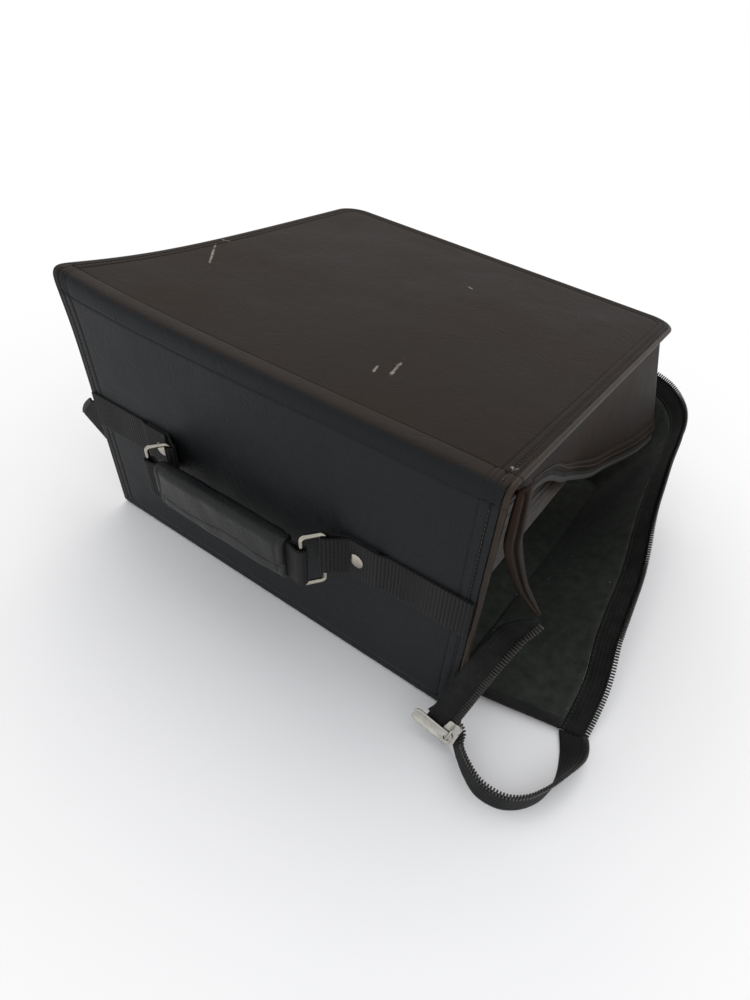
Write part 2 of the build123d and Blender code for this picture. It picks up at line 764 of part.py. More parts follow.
print("ridge", (0, round(ridge_y, 3), spine_rise))
print("spine foot", (0, near_y, 0))
print("left ring axis", on_spine(-loop_x, ring_height, loop_stand_off), "way", spine_up)
print("handle left bar", handle_middle + along_x * -loop_x)
print("slider", slider_centre, "run", tail_run, "out", tail_out)
print("tab axis", tab_plane.origin)
for index in (1, 2):
    top = stack_base + (index + 1) * bundle_rise - running_gap
    print("bundle", index, "hinge", round(binding_face(top) + running_gap, 3), round(top, 3))
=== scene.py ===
import bpy
import numpy as np
from mathutils import Matrix, Vector


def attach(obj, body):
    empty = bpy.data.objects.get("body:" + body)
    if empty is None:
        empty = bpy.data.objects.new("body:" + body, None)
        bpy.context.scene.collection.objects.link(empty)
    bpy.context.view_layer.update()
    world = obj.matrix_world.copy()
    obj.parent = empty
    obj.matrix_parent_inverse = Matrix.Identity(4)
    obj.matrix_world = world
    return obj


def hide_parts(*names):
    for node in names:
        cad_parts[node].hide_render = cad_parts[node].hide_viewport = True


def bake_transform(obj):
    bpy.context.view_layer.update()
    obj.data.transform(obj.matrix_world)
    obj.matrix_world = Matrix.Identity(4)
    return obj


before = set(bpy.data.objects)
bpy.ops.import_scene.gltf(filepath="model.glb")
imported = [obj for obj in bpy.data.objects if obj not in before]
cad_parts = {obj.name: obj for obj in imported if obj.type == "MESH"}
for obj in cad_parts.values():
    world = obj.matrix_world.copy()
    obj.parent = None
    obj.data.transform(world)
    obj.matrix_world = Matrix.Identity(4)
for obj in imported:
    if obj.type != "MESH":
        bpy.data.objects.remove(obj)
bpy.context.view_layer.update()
mm = 0.001

# Camera
# It stands at the right of the spine, above the case, and looks down on the spine's right end.
# Its place and turn were solved from the edges of the two covers.
camera_place = Vector((0.23403, -0.40656, 0.36767))
camera_right = Vector((0.81248, 0.57545, 0.09342))
camera_up = Vector((-0.42255, 0.47089, 0.77441))
camera_back = Vector((0.40164, -0.66867, 0.62575))
camera = bpy.data.objects.new("camera", bpy.data.cameras.new("camera"))
camera.matrix_world = Matrix.Translation(camera_place) @ Matrix(
    (camera_right, camera_up, camera_back)).transposed().to_4x4()
camera.data.sensor_fit = "VERTICAL"
camera.data.sensor_height = 36
camera.data.lens = 22.32
camera.data.clip_start = 0.01
bpy.context.scene.collection.objects.link(camera)
bpy.context.scene.camera = camera
bpy.context.scene.view_settings.view_transform = "Standard"


# Floor and light
# A white table under the case, lit by a bright room and by one broad soft light from behind it
# at the left. Together they light a level surface at full strength, so colours show as written.
def colour(hex_value):
    """Linear colour with alpha for an sRGB hex value."""
    channels = [int(hex_value[i:i + 2], 16) / 255 for i in (1, 3, 5)]
    linear = [c / 12.92 if c <= 0.04045 else ((c + 0.055) / 1.055) ** 2.4 for c in channels]
    return (*linear, 1.0)


def node(owner, kind, links=None, **settings):
    """Adds a node with its settings to a material or a world. links gives inputs by name or
    number, each as a value or as the output of another node."""
    new = owner.node_tree.nodes.new("ShaderNode" + kind)
    for key, value in settings.items():
        setattr(new, key, value)
    for key, value in (links or {}).items():
        if isinstance(value, bpy.types.Node):
            value = value.outputs[0]
        if isinstance(value, bpy.types.NodeSocket):
            owner.node_tree.links.new(value, new.inputs[key])
        else:
            new.inputs[key].default_value = value
    return new


def empty_material(name):
    """A material with no nodes yet."""
    material = bpy.data.materials.new(name)
    material.use_nodes = True
    material.node_tree.nodes.clear()
    return material


def finish_material(material, links):
    """Gives a material its surface shader, with its colour, roughness and the rest in links."""
    shader = node(material, "BsdfPrincipled", links)
    node(material, "OutputMaterial", {"Surface": shader})
    return material


def lengths(points):
    """Distance run along a line of points at each of them."""
    return np.concatenate([[0], np.cumsum(np.linalg.norm(np.diff(points, axis=0), axis=1))])


def grid_corners(rows, columns, ring=False):
    """Row and column of the near left corner of each face of a grid. A ring has one more face in
    each row, which joins its last column to its first."""
    i, j = np.meshgrid(np.arange(rows - 1), np.arange(columns if ring else columns - 1), indexing="ij")
    return i.ravel(), j.ravel()


def grid_faces(rows, columns, ring=False):
    """Point numbers round each face of a grid whose points are numbered row by row."""
    i, j = grid_corners(rows, columns, ring)
    after = (j + 1) % columns
    return np.stack([i * columns + j, (i + 1) * columns + j,
                     (i + 1) * columns + after, i * columns + after], axis=1)


def end_faces(rows, columns):
    """Point numbers round the two ends of a tube that is a grid of rings."""
    first = np.arange(columns)
    return np.stack([first, rows * columns - 1 - first])


def linked_piece(name, points, faces):
    """A smooth mesh of points and faces, in the scene at the origin."""
    mesh = bpy.data.meshes.new(name)
    mesh.from_pydata(points.reshape(-1, 3).tolist(), [], faces)
    mesh.uv_layers.new(name="UVMap")
    mesh.shade_smooth()
    piece = bpy.data.objects.new(name, mesh)
    bpy.context.scene.collection.objects.link(piece)
    return piece


def surface(name, points, ring=False, ends=False):
    """Mesh over a grid of points: rows along the piece, columns across it, faces looking the way
    of along times across. ring joins the last column to the first, and ends closes both end
    rows. The UV map holds metres along and across, summed on the middle row and column."""
    rows, columns = points.shape[:2]
    faces = grid_faces(rows, columns, ring).tolist() + (end_faces(rows, columns).tolist() if ends else [])
    piece = linked_piece(name, points, faces)
    closed = np.concatenate([points, points[:, :1]], axis=1) if ring else points
    along = lengths(closed[:, closed.shape[1] // 2])
    across = lengths(closed[rows // 2])
    i, j = grid_corners(rows, columns, ring)
    uv = np.zeros((len(piece.data.loops), 2), np.float32)
    uv[:4 * len(i), 0] = np.stack([along[i], along[i + 1], along[i + 1], along[i]], axis=1).ravel()
    uv[:4 * len(j), 1] = np.stack([across[j], across[j], across[j + 1], across[j + 1]], axis=1).ravel()
    piece.data.uv_layers["UVMap"].data.foreach_set("uv", uv.ravel())
    return piece


# Painted laminate: flat white without gloss, so that the table shows nothing but soft shadows.
table_white = empty_material("white laminate")
finish_material(table_white, {"Base Color": colour("#FFFFFF"), "Roughness": 0.9, "Specular IOR Level": 0.0})
floor_half, floor_drop = 400.0, 0.3 * mm
floor_sides = np.array([-floor_half, floor_half])
floor = surface("floor", np.stack(np.meshgrid(floor_sides, floor_sides, [-floor_drop], indexing="ij"),
                                  axis=-1)[:, :, 0])
floor.data.materials.append(table_white)

room = bpy.data.worlds.new("room")
room.use_nodes = True
room.node_tree.nodes.clear()
room_light = node(room, "Background", {"Color": colour("#FBFCFF"), "Strength": 0.92})
room_white = node(room, "Background", {"Color": colour("#FFFFFF")})
rays = node(room, "LightPath")
seen = node(room, "MixShader", {0: rays.outputs["Is Camera Ray"], 1: room_light, 2: room_white})
node(room, "OutputWorld", {"Surface": seen})
bpy.context.scene.world = room

window = bpy.data.objects.new("window", bpy.data.lights.new("window", "SUN"))
window.data.energy = 0.5
window.data.angle = np.radians(40)
window.data.color = colour("#FFF7EC")[:3]
window.rotation_euler = Vector((-0.55, 0.75, 1.25)).to_track_quat("Z", "Y").to_euler()
bpy.context.scene.collection.objects.link(window)

# Boards
# Each cover and the spine is stiffened by a sheet of greyboard, pressed from waste paper and
# glued under the skin. The front one is drawn again, because it has bent up with its leather at
# the ridge's left end, and it stops short of the ridge, so that the leather can turn there.
half_length = 170 * mm
near_y, far_y = -165 * mm, 165 * mm
cover_depth = far_y - near_y
spine_rise, spine_lean = 201.5 * mm, 16.8 * mm
cover_droop = 18 * mm
corner_radius = 22 * mm
ridge_y = near_y - spine_lean
ridge_far_y = ridge_y + cover_depth
board_inset, board_thickness = 3.9 * mm, 2.9 * mm
board_depth, board_from_ridge = 1.4 * mm, 6.5 * mm


def cover_top(x, y):
    """Height of the front cover's face, which falls towards its far right corner."""
    return spine_rise - cover_droop * (x + half_length) / (2 * half_length) * (y - ridge_y) / cover_depth


def swell(points):
    """Lifts and spreads the cover round the ridge's left end, where it has been pushed up. The
    lift falls off as a bell along the ridge, across the cover and down the spine."""
    x, y, z = points[..., 0], points[..., 1], points[..., 2]
    left = np.exp(-np.maximum(x + half_length, 0) / (62 * mm))
    across = np.exp(-(np.maximum(y - ridge_y, 0) / (68 * mm)) ** 1.25)
    down = np.exp(-(np.maximum(cover_top(x, y) - z, 0) / (26 * mm)) ** 2)
    share = left * across * down
    return points + share[..., None] * np.array([-3.6, -1.6, 10.5]) * mm


def edge_steps(fine_to, coarse, total):
    """Distances from an edge: every 0.35 mm to fine_to, then growing to coarse up to total."""
    steps = list(np.arange(0, fine_to, 0.35 * mm))
    while steps[-1] < total:
        steps.append(steps[-1] + min(coarse, (steps[-1] - steps[-2]) * 1.25))
    steps[-1] = total
    return np.array(steps)


def cover_grid(start_y, end_y, inset):
    """Points of a sheet of a cover seen from above and their distances in from its three free
    edges. The grid's two far corners are drawn into quarter circles, as a square maps to a
    disc."""
    edge_x, edge_y = half_length - inset, end_y - inset
    from_side = edge_steps(9 * mm, 7 * mm, edge_x)
    x = np.concatenate([-edge_x + from_side, edge_x - from_side[-2::-1]])
    from_far = edge_steps(9 * mm, 7 * mm, edge_y - start_y)
    y = edge_y - from_far[::-1]
    x, y = np.meshgrid(x, y, indexing="ij")
    radius = corner_radius - inset
    a = (np.abs(x) - (edge_x - radius)) / radius
    b = (y - (edge_y - radius)) / radius
    corner_zone = (a > 0) & (b > 0)
    a, b = np.clip(a, 0, 1), np.clip(b, 0, 1)
    round_x = edge_x - radius + radius * a * np.sqrt(1 - b ** 2 / 2)
    round_y = edge_y - radius + radius * b * np.sqrt(1 - a ** 2 / 2)
    out = np.hypot(round_x - edge_x + radius, round_y - edge_y + radius)
    inside = np.where(corner_zone, radius - out, np.minimum(edge_x - np.abs(x), edge_y - y))
    x = np.where(corner_zone, np.sign(x) * round_x, x)
    y = np.where(corner_zone, round_y, y)
    return x, y, inside


def thicken(piece, thickness, outward=-1):
    """Gives a sheet its thickness, on the inner side of its faces, or on both if outward is 0."""
    wall = piece.modifiers.new("thickness", "SOLIDIFY")
    wall.thickness, wall.offset = thickness, outward
    wall.use_even_offset = False
    return piece


def object_point(material):
    """The place on the object that a pattern reads."""
    return node(material, "TexCoord").outputs["Object"]


def dress(names, material):
    """Gives a material to solids that show as they are."""
    for name in names:
        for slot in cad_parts[name].material_slots:
            slot.material = material


def place(piece, material, body, slot, *nodes):
    """Gives a finished piece its material and the body it moves with, if it has one of its own, and
    hides the solids it stands for."""
    piece.data.materials.append(material)
    if body:
        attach(piece, body)
    if nodes:
        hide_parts(*nodes)
    return piece


# Greyboard is matt and flecked, with fibres 1.1 mm long standing a little out of its cut edge.
greyboard = empty_material("pressed greyboard")
fibres = node(greyboard, "TexNoise", {"Vector": object_point(greyboard), "Scale": 1 / (1.1 * mm),
                                      "Detail": 4.0})
flecks = node(greyboard, "TexNoise", {"Vector": object_point(greyboard), "Scale": 1 / (3.85 * mm),
                                      "Detail": 2.0})
board_tone = node(greyboard, "Mix", {"Factor": flecks.outputs["Fac"], 6: colour("#6E675C"),
                                     7: colour("#8B8477")}, data_type="RGBA")
board_bump = node(greyboard, "Bump", {"Height": fibres.outputs["Fac"], "Distance": 0.15 * mm})
finish_material(greyboard, {"Base Color": board_tone.outputs[2], "Roughness": 0.9, "Normal": board_bump})
dress(("back_board", "spine_board"), greyboard)
x, y = cover_grid(ridge_y + board_from_ridge, ridge_far_y, board_inset)[:2]
board_points = swell(np.stack([x, y, cover_top(x, y) - board_depth], axis=-1))
front_board = thicken(surface("front_greyboard", board_points), board_thickness)
place(front_board, greyboard, "front_cover", "board", "front_board")

# Cover skins
# One sheet of leatherette, PVC on cloth, covers each board. Near its three free edges it has a
# sewn welt, and a bead runs outside that.
skin_thickness = 1.2 * mm
skin_inset = 3.7 * mm
fold_reach = 13 * mm


def welt_height(inside):
    """Height of a sewn edge over the panel, by distance in from the skin's edge: a rounded
    strip, a stitched groove, a flatter strip, a fold line, and then the panel itself."""
    d = np.maximum(inside, 0) / mm
    edge_strip = 0.45 * np.clip(1 - ((d - 1.5) / 1.7) ** 2, 0, 1) - 0.35
    groove = -0.75 * np.exp(-((d - 3.5) / 0.45) ** 2)
    inner_strip = 0.3 * np.clip(1 - ((d - 5.6) / 1.9) ** 2, 0, 1)
    fold = -0.55 * np.exp(-((d - 7.9) / 0.3) ** 2)
    panel = 0.35 * (1 - np.exp(-np.maximum(d - 7.9, 0) / 5))
    return (edge_strip * (d < 3.4) + groove + inner_strip + fold + panel - 0.2) * mm


def scuffed(material, base, point, scuff):
    """A base colour with one scraped streak on it, given by its middle, its direction, and its
    half length and half width. Broken streaks of bare cloth fade with the square of the distance
    from the middle, measured in those halves."""
    middle, direction, half_long, half_wide = scuff
    way = Vector((*direction, 0)).normalized()
    offset = node(material, "VectorMath", {0: point, 1: (*middle, 0)}, operation="SUBTRACT")
    squares = []
    for axis, half in ((way, half_long), (Vector((-way.y, way.x, 0)), half_wide)):
        reach = node(material, "VectorMath", {0: offset, 1: tuple(axis)}, operation="DOT_PRODUCT")
        reach = node(material, "Math", {0: reach.outputs["Value"], 1: half}, operation="DIVIDE")
        squares.append(node(material, "Math", {0: reach, 1: 2.0}, operation="POWER"))
    spread = node(material, "Math", {0: squares[0], 1: squares[1]}, operation="ADD")
    fine = node(material, "TexNoise", {"Vector": point, "Scale": 1 / (1.923 * mm), "Detail": 4.0,
                                       "Roughness": 0.7})
    streaks = node(material, "TexNoise", {"Vector": point, "Scale": 1 / (7.692 * mm), "Detail": 2.0})
    broken = node(material, "Math", {0: fine.outputs["Fac"], 1: streaks.outputs["Fac"]},
                  operation="MULTIPLY")
    spread = node(material, "Math", {0: spread, 1: 0.16}, operation="MULTIPLY")
    left = node(material, "Math", {0: broken, 1: spread}, operation="SUBTRACT")
    mark = node(material, "MapRange", {"Value": left, "From Min": 0.1, "From Max": 0.26, "To Max": 0.7})
    return node(material, "Mix", {"Factor": mark, 6: base, 7: colour("#A39C93")},
                data_type="RGBA").outputs[2]


def leatherette(name, deep, worn, roughness, gloss, grain=1.5 * mm, scuffs=(), shaded_tones=None):
    """Embossed PVC leatherette: pebbles of one grain cut by fine creases, slow waves of the board
    below, and tones between a deep and a worn one. The pebbles are drawn about twice real size,
    so that they show. turning gives two tones of painted shade, the spine's, that it has
    instead where it comes up a fold from the spine, by the second direction of its UV map."""
    material = empty_material(name)
    point = object_point(material)
    tone = node(material, "TexNoise", {"Vector": point, "Scale": 1 / (76.92 * mm), "Detail": 5.0,
                                       "Roughness": 0.6}).outputs["Fac"]
    worn_share = node(material, "MapRange", {"Value": tone, "From Min": 0.35, "From Max": 0.68})
    base = node(material, "Mix", {"Factor": worn_share, 6: colour(deep), 7: colour(worn)},
                data_type="RGBA").outputs[2]
    # From the spine up to the crest it takes the shaded tones instead: painted shade.
    if shaded_tones:
        before = node(material, "Mix", {"Factor": tone, 6: colour(shaded_tones[0]), 7: colour(shaded_tones[1])},
                      data_type="RGBA").outputs[2]
        over = node(material, "SeparateXYZ", {0: node(material, "TexCoord").outputs["UV"]}).outputs[1]
        over = node(material, "MapRange", {"Value": over, "From Min": 9.5 * mm, "From Max": 15 * mm},
                    interpolation_type="SMOOTHSTEP")
        base = node(material, "Mix", {"Factor": over, 6: before, 7: base}, data_type="RGBA").outputs[2]
    for scuff in scuffs:
        base = scuffed(material, base, point, scuff)
    pebbles = node(material, "TexVoronoi", {"Vector": point, "Scale": 1 / grain}, feature="SMOOTH_F1")
    creases = node(material, "TexNoise", {"Vector": point, "Scale": 1 / (14.29 * mm), "Detail": 3.0,
                                          "Distortion": 0.6})
    from_crease = node(material, "Math", {0: creases.outputs["Fac"], 1: 0.5}, operation="SUBTRACT")
    from_crease = node(material, "Math", {0: from_crease}, operation="ABSOLUTE")
    crease_depth = node(material, "MapRange", {"Value": from_crease, "From Max": 0.025})
    height = node(material, "Math", {0: pebbles.outputs["Distance"], 1: crease_depth, 2: crease_depth},
                  operation="MULTIPLY_ADD")
    rough = node(material, "MapRange", {"Value": tone, "From Min": 0.3, "From Max": 0.7,
                                        "To Min": roughness[0], "To Max": roughness[1]})
    waves = node(material, "TexNoise", {"Vector": point, "Scale": 1 / (62.5 * mm), "Detail": 2.0})
    slow = node(material, "Bump", {"Height": waves.outputs["Fac"], "Distance": 3 * mm, "Strength": 0.5})
    relief = node(material, "Bump", {"Height": height, "Distance": 0.16 * mm, "Strength": 0.6,
                                     "Normal": slow})
    return finish_material(material, {"Base Color": base, "Roughness": rough, "Specular IOR Level": gloss,
                                      "Normal": relief})


# Near black with a brown cast, a dull even gloss and a few pale scrapes from handling. The brown
# cast is painted warm light, the lit copy of the spine's blue black, which is painted shade.
cover_leather = leatherette(
    "brown black leatherette", "#1D1611", "#2A221B", roughness=(0.52, 0.68), gloss=0.09,
    scuffs=(((-0.144, -0.066), (0.655, -0.756), 26 * mm, 1.0 * mm),
            ((-0.162, -0.034), (1, 0.3), 4 * mm, 1.2 * mm),
            ((0.0640, -0.118), (0.26, -0.97), 15 * mm, 1.3 * mm),
            ((0.0560, -0.128), (0.3, -0.95), 7 * mm, 1.0 * mm),
            ((0.0234, 0.0527), (1, -0.4), 3 * mm, 1.2 * mm),
            ((0.163, -0.163), (1, 0.3), 2.6 * mm, 1.2 * mm)))
x, y, inside = cover_grid(ridge_y + fold_reach, ridge_far_y, skin_inset)
front_points = swell(np.stack([x, y, cover_top(x, y) + welt_height(inside)], axis=-1))
front_leather = thicken(surface("front_cover_leather", front_points), skin_thickness)
place(front_leather, cover_leather, "front_cover", "cover_leather", "front_skin")
x, y, inside = cover_grid(near_y + fold_reach, far_y, skin_inset)
back_points = np.stack([x, y, 0.35 * mm - welt_height(inside)], axis=-1)[::-1]
back_leather = thicken(surface("back_cover_leather", back_points), skin_thickness)
place(back_leather, cover_leather, "back_cover", "cover_leather", "back_skin")

# Edge beads
# A cord wrapped in leatherette and sewn between skin and side wall, round the free edges of both
# covers and up both ends of the spine.
piping_radius = 1.9 * mm
piping_depth = 2.1 * mm
spine_height = float(np.hypot(spine_lean, spine_rise))
lean = np.arctan2(spine_lean, spine_rise)
along_x = np.array([1.0, 0, 0])
spine_up = np.array([0, -np.sin(lean), np.cos(lean)])
spine_out = np.array([0, -np.cos(lean), -np.sin(lean)])


def on_spine(x, height, outward):
    """Points at x along the spine, a height up its outer face and a distance out from it."""
    x, height, outward = np.broadcast_arrays(x, height, outward)
    foot = np.stack([x, np.full(x.shape, near_y), np.zeros(x.shape)], axis=-1)
    return foot + spine_up * height[..., None] + spine_out * outward[..., None]


def rim(inset, start_y, end_y, left_y=None):
    """Points round a cover's free sides every 2.5 mm, from the right foot to the left one, with
    the bearing that looks outward: two straight lines and two quarter circles. The left side
    may stop at a place of its own."""
    radius = corner_radius - inset
    side, far = half_length - inset, end_y - inset
    turn = np.radians(np.linspace(0, 90, 15))
    halves = []
    for begin in (start_y, start_y if left_y is None else left_y):
        straight = np.linspace(begin, far - radius, int((far - radius - begin) / (2.5 * mm)))
        halves.append(np.concatenate([
            np.stack([np.full(straight.shape, side), straight, straight * 0], axis=1),
            np.stack([side - radius + radius * np.cos(turn), far - radius + radius * np.sin(turn), turn],
                     axis=1)[1:]]))
    right, left = halves[0], halves[1][::-1] * [-1, 1, -1] + [0, 0, np.pi]
    middle = np.linspace(side - radius, radius - side, 120)[1:-1]
    far_side = np.stack([middle, np.full(middle.shape, far), np.full(middle.shape, np.pi / 2)], axis=1)
    path = np.concatenate([right, far_side, left])
    return path[:, 0], path[:, 1], path[:, 2]


def unit(vectors):
    """Vectors brought to a length of one."""
    return vectors / np.linalg.norm(vectors, axis=-1, keepdims=True)


def tube(name, path, radius, sides=12, loop=False, start_normal=(0, 0, 1)):
    """A round section carried along a path. Each ring's first direction is the one before it,
    laid square to the path there, so that the tube doesn't twist."""
    ahead = np.roll(path, -1, axis=0) - np.roll(path, 1, axis=0)
    if not loop:
        ahead[0], ahead[-1] = path[1] - path[0], path[-1] - path[-2]
    ahead = unit(ahead)
    first, normal = [], np.array(start_normal, float)
    for way in ahead:
        normal = unit(normal - way * (normal @ way))
        first.append(normal)
    first = np.array(first)
    second = np.cross(ahead, first)
    turn = np.linspace(0, 2 * np.pi, sides, endpoint=False)[:, None]
    rings = path[:, None] + radius * (first[:, None] * np.cos(turn) + second[:, None] * np.sin(turn))
    if loop:
        rings = np.concatenate([rings, rings[:1]])
    return surface(name, rings, ring=True, ends=not loop)


# Stretched round its cord, the leatherette is paler than on the covers, and its worn tone is
# raised further as a painted highlight along the bead.
highlit_bead_leather = leatherette("highlit bead leatherette", "#1E1711", "#362B21", roughness=(0.4, 0.52), gloss=0.2,
                           grain=1.2 * mm)
x, y = rim(piping_radius, ridge_y + fold_reach, ridge_far_y)[:2]
front_bead_path = swell(np.stack([x, y, cover_top(x, y) - piping_depth], axis=1))
front_bead = tube("front_cover_bead", front_bead_path, piping_radius)
place(front_bead, highlit_bead_leather, "front_cover", "piping", "front_piping")
x, y = rim(piping_radius, near_y + fold_reach, far_y)[:2]
back_bead = tube("back_cover_bead", np.stack([x, y, np.full(x.shape, piping_depth)], axis=1), piping_radius)
place(back_bead, highlit_bead_leather, "back_cover", "piping", "back_piping")

# Spine skin
# The same leatherette over the spine's board. It has a sewn welt at each end, wider than those on
# the covers, a bead outside that, and soft upright creases from handling.
fold_foot = 9 * mm
welt_stretch = 1.35


def spine_edge_height(inside):
    """The sewn edge's height, spread wider than on the covers."""
    return welt_height(inside / welt_stretch)


# Turned away from the window, it is painted blue black: painted shade, a shaded copy of the covers'
# brown black leatherette. Its worn face has a low sheen.
spine_leather = leatherette("black leatherette", "#101214", "#1B1D1E", roughness=(0.5, 0.64), gloss=0.2)
from_side = edge_steps(12 * mm, 6 * mm, half_length - skin_inset)
spine_x = np.concatenate([-half_length + skin_inset + from_side,
                          half_length - skin_inset - from_side[-2::-1]])
spine_h = np.linspace(fold_foot, spine_height - fold_reach, 60)
x, height = np.meshgrid(spine_x, spine_h, indexing="ij")
# Two creases lean opposite ways, and both die out before the folds.
crease = 0.5 * mm * np.exp(-((x + 0.25 * (height - 60 * mm) + 40 * mm) / (9 * mm)) ** 2)
crease += 0.4 * mm * np.exp(-((x - 0.18 * (height - 90 * mm) - 28 * mm) / (7 * mm)) ** 2)
crease *= np.sin(np.pi * (height - fold_foot) / (spine_h[-1] - fold_foot)) ** 2
welt = spine_edge_height(half_length - skin_inset - np.abs(x))
spine_cover = thicken(surface("spine_leather", swell(on_spine(x, height, welt + crease))), skin_thickness)
place(spine_cover, spine_leather, "spine", "spine_leather", "spine_skin")

for side, name in ((-1, "left"), (1, "right")):
    bead_path = swell(on_spine(side * (half_length - piping_radius), spine_h, -piping_depth))
    spine_bead = tube(f"spine_{name}_bead", bead_path, piping_radius, start_normal=(1, 0, 0))
    place(spine_bead, highlit_bead_leather, "spine", "piping", "spine_piping")


# Ridge and foot folds
# The leatherette runs on over the soft folds where the spine meets each cover. Board ends short
# of the fold on both sides, so the leather turns there in a broad round and carries its beads.
fold_fullness = 0.86
foot_radius = 4 * mm


def rounded(points, radii, loop=False):
    """A line through points whose corners are arcs of the given radii. An arc's centre lies on
    the corner's bisector, and its ends where the circle touches both sides."""
    points = [np.array(p, float) for p in points]
    line = []
    for i, (corner, radius) in enumerate(zip(points, radii)):
        if radius == 0:
            line.append(corner[None])
            continue
        back = unit(points[i - 1] - corner)
        ahead = unit(points[(i + 1) % len(points)] - corner)
        half = np.arccos(np.clip(back @ ahead, -1, 1)) / 2
        centre = corner + unit(back + ahead) * radius / np.sin(half)
        start = corner + back * radius / np.tan(half) - centre
        end = corner + ahead * radius / np.tan(half) - centre
        sweep = np.arccos(np.clip(start @ end / radius ** 2, -1, 1))
        share = np.linspace(0, 1, 13)[:, None]
        line.append(centre + (start * np.sin((1 - share) * sweep) + end * np.sin(share * sweep))
                    / np.sin(sweep))
    line = np.concatenate(line)
    return np.concatenate([line, line[:1]]) if loop else line


def at_runs(points, run, at):
    """Points of a line at distances run along it."""
    return np.stack([np.interp(at, run, points[:, k]) for k in range(3)], axis=1)


def evenly(points, count):
    """So many points at even steps along a line."""
    run = lengths(points)
    return at_runs(points, run, np.linspace(0, run[-1], count))


def ridge_line(x, depth):
    """Line over the ridge at x, a depth under the leather's face, from the spine to the cover: a
    cubic Bezier curve that leaves both ends along their faces."""
    foot = on_spine(x, spine_height - fold_reach, -depth)
    head = np.array([x, ridge_y + fold_reach, cover_top(x, ridge_y + fold_reach) - depth])
    crest_rise = (head[2] + depth - spine_rise) * 0.6
    crest = np.array([x, ridge_y + depth * 1.08, spine_rise - depth + crest_rise])
    first, last = foot + (crest - foot) * fold_fullness, head + (crest - head) * fold_fullness
    t = np.linspace(0, 1, 60)[:, None]
    return foot * (1 - t) ** 3 + 3 * first * t * (1 - t) ** 2 + 3 * last * t ** 2 * (1 - t) + head * t ** 3


def foot_line(x, depth):
    """Line round the foot fold at x, a depth inside the leather, from the back cover to the
    spine."""
    start = np.array([x, near_y + fold_reach, depth])
    crest = np.array([x, near_y + depth * 0.92, depth])
    end = on_spine(x, fold_foot, -depth)
    return rounded([start, crest, end], [0, foot_radius - min(depth, 2.5 * mm), 0])


def fold_leather(name, line_at, lift, steps=28):
    """Leather over a fold: the line at the left end carried straight to the one at the right,
    raised by the sewn edges' profile."""
    left, right = evenly(line_at(-half_length, 0), steps), evenly(line_at(half_length, 0), steps)
    inner = evenly(line_at(0, 1 * mm), steps)
    share = ((spine_x + half_length) / (2 * half_length))[:, None, None]
    points = left[None] * (1 - share) + right[None] * share
    points[..., 0] = spine_x[:, None]
    middle = points[len(points) // 2]
    outward = unit(np.cross(along_x, np.gradient(middle, axis=0)))
    outward *= np.sign(outward[steps // 2] @ (middle[steps // 2] - inner[steps // 2]))
    raised = lift(half_length - skin_inset - np.abs(spine_x))
    return thicken(surface(name, swell(points + outward[None] * raised[:, None, None])), skin_thickness)


# Rubbed over the board's edge, the ridge shines more. Its colour turns from the spine's blue black,
# painted shade, to the cover's brown black, painted warm light, right at its crest.
ridge_leather = leatherette("rubbed leatherette", "#1D1611", "#2A221B", roughness=(0.5, 0.64), gloss=0.15,
                            shaded_tones=("#111315", "#1C1E1F"))
ridge = fold_leather("ridge_leather", ridge_line, lambda inside: (
    spine_edge_height(inside) * 0.5 + welt_height(inside) * 0.5))
place(ridge, ridge_leather, None, "cover_leather")
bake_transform(ridge)
foot = fold_leather("foot_leather", foot_line, lambda inside: welt_height(inside) * 0.4)
place(foot, spine_leather, None, "spine_leather")
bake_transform(foot)
for side, name in ((-1, "left"), (1, "right")):
    bead_x = side * (half_length - piping_radius)
    ridge_bead_path = swell(evenly(ridge_line(bead_x, piping_depth), 22))
    ridge_bead = tube(f"ridge_{name}_bead", ridge_bead_path, piping_radius, start_normal=(1, 0, 0))
    place(ridge_bead, highlit_bead_leather, None, "piping")
    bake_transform(ridge_bead)
    foot_bead_path = evenly(foot_line(bead_x, piping_depth), 22)
    foot_bead = tube(f"foot_{name}_bead", foot_bead_path, piping_radius, start_normal=(1, 0, 0))
    place(foot_bead, highlit_bead_leather, None, "piping")
    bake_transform(foot_bead)


# Stitching on covers and spine
# Lockstitch in black polyester thread, about eight stitches to the inch, in the welts' grooves.
# Each stitch is a short thread that dips into the leather at both ends.
def repeated(name, shape, origins, ways):
    """One mesh of a small closed tube, a grid of rings, set at each origin and turned to that
    place's three directions."""
    rings, around = shape.shape[:2]
    points = origins[:, None, None] + np.einsum("rak,nkc->nrac", shape, ways)
    first = rings * around * np.arange(len(origins))[:, None, None]
    sides = (grid_faces(rings, around, ring=True) + first).reshape(-1, 4)
    ends = (end_faces(rings, around) + first).reshape(-1, around)
    return linked_piece(name, points, sides.tolist() + ends.tolist())


def along_line(path, normal, pitch):
    """Places every pitch along a line, with the directions along it, beside it and out of it."""
    run = lengths(path)
    at = np.arange(pitch / 2, run[-1] - pitch / 2, pitch)
    way = unit(at_runs(np.gradient(path, run, axis=0), run, at))
    out = at_runs(np.broadcast_to(normal, path.shape), run, at)
    out = unit(out - way * np.sum(out * way, axis=1)[:, None])
    return at_runs(path, run, at), np.stack([way, np.cross(out, way), out], axis=1)


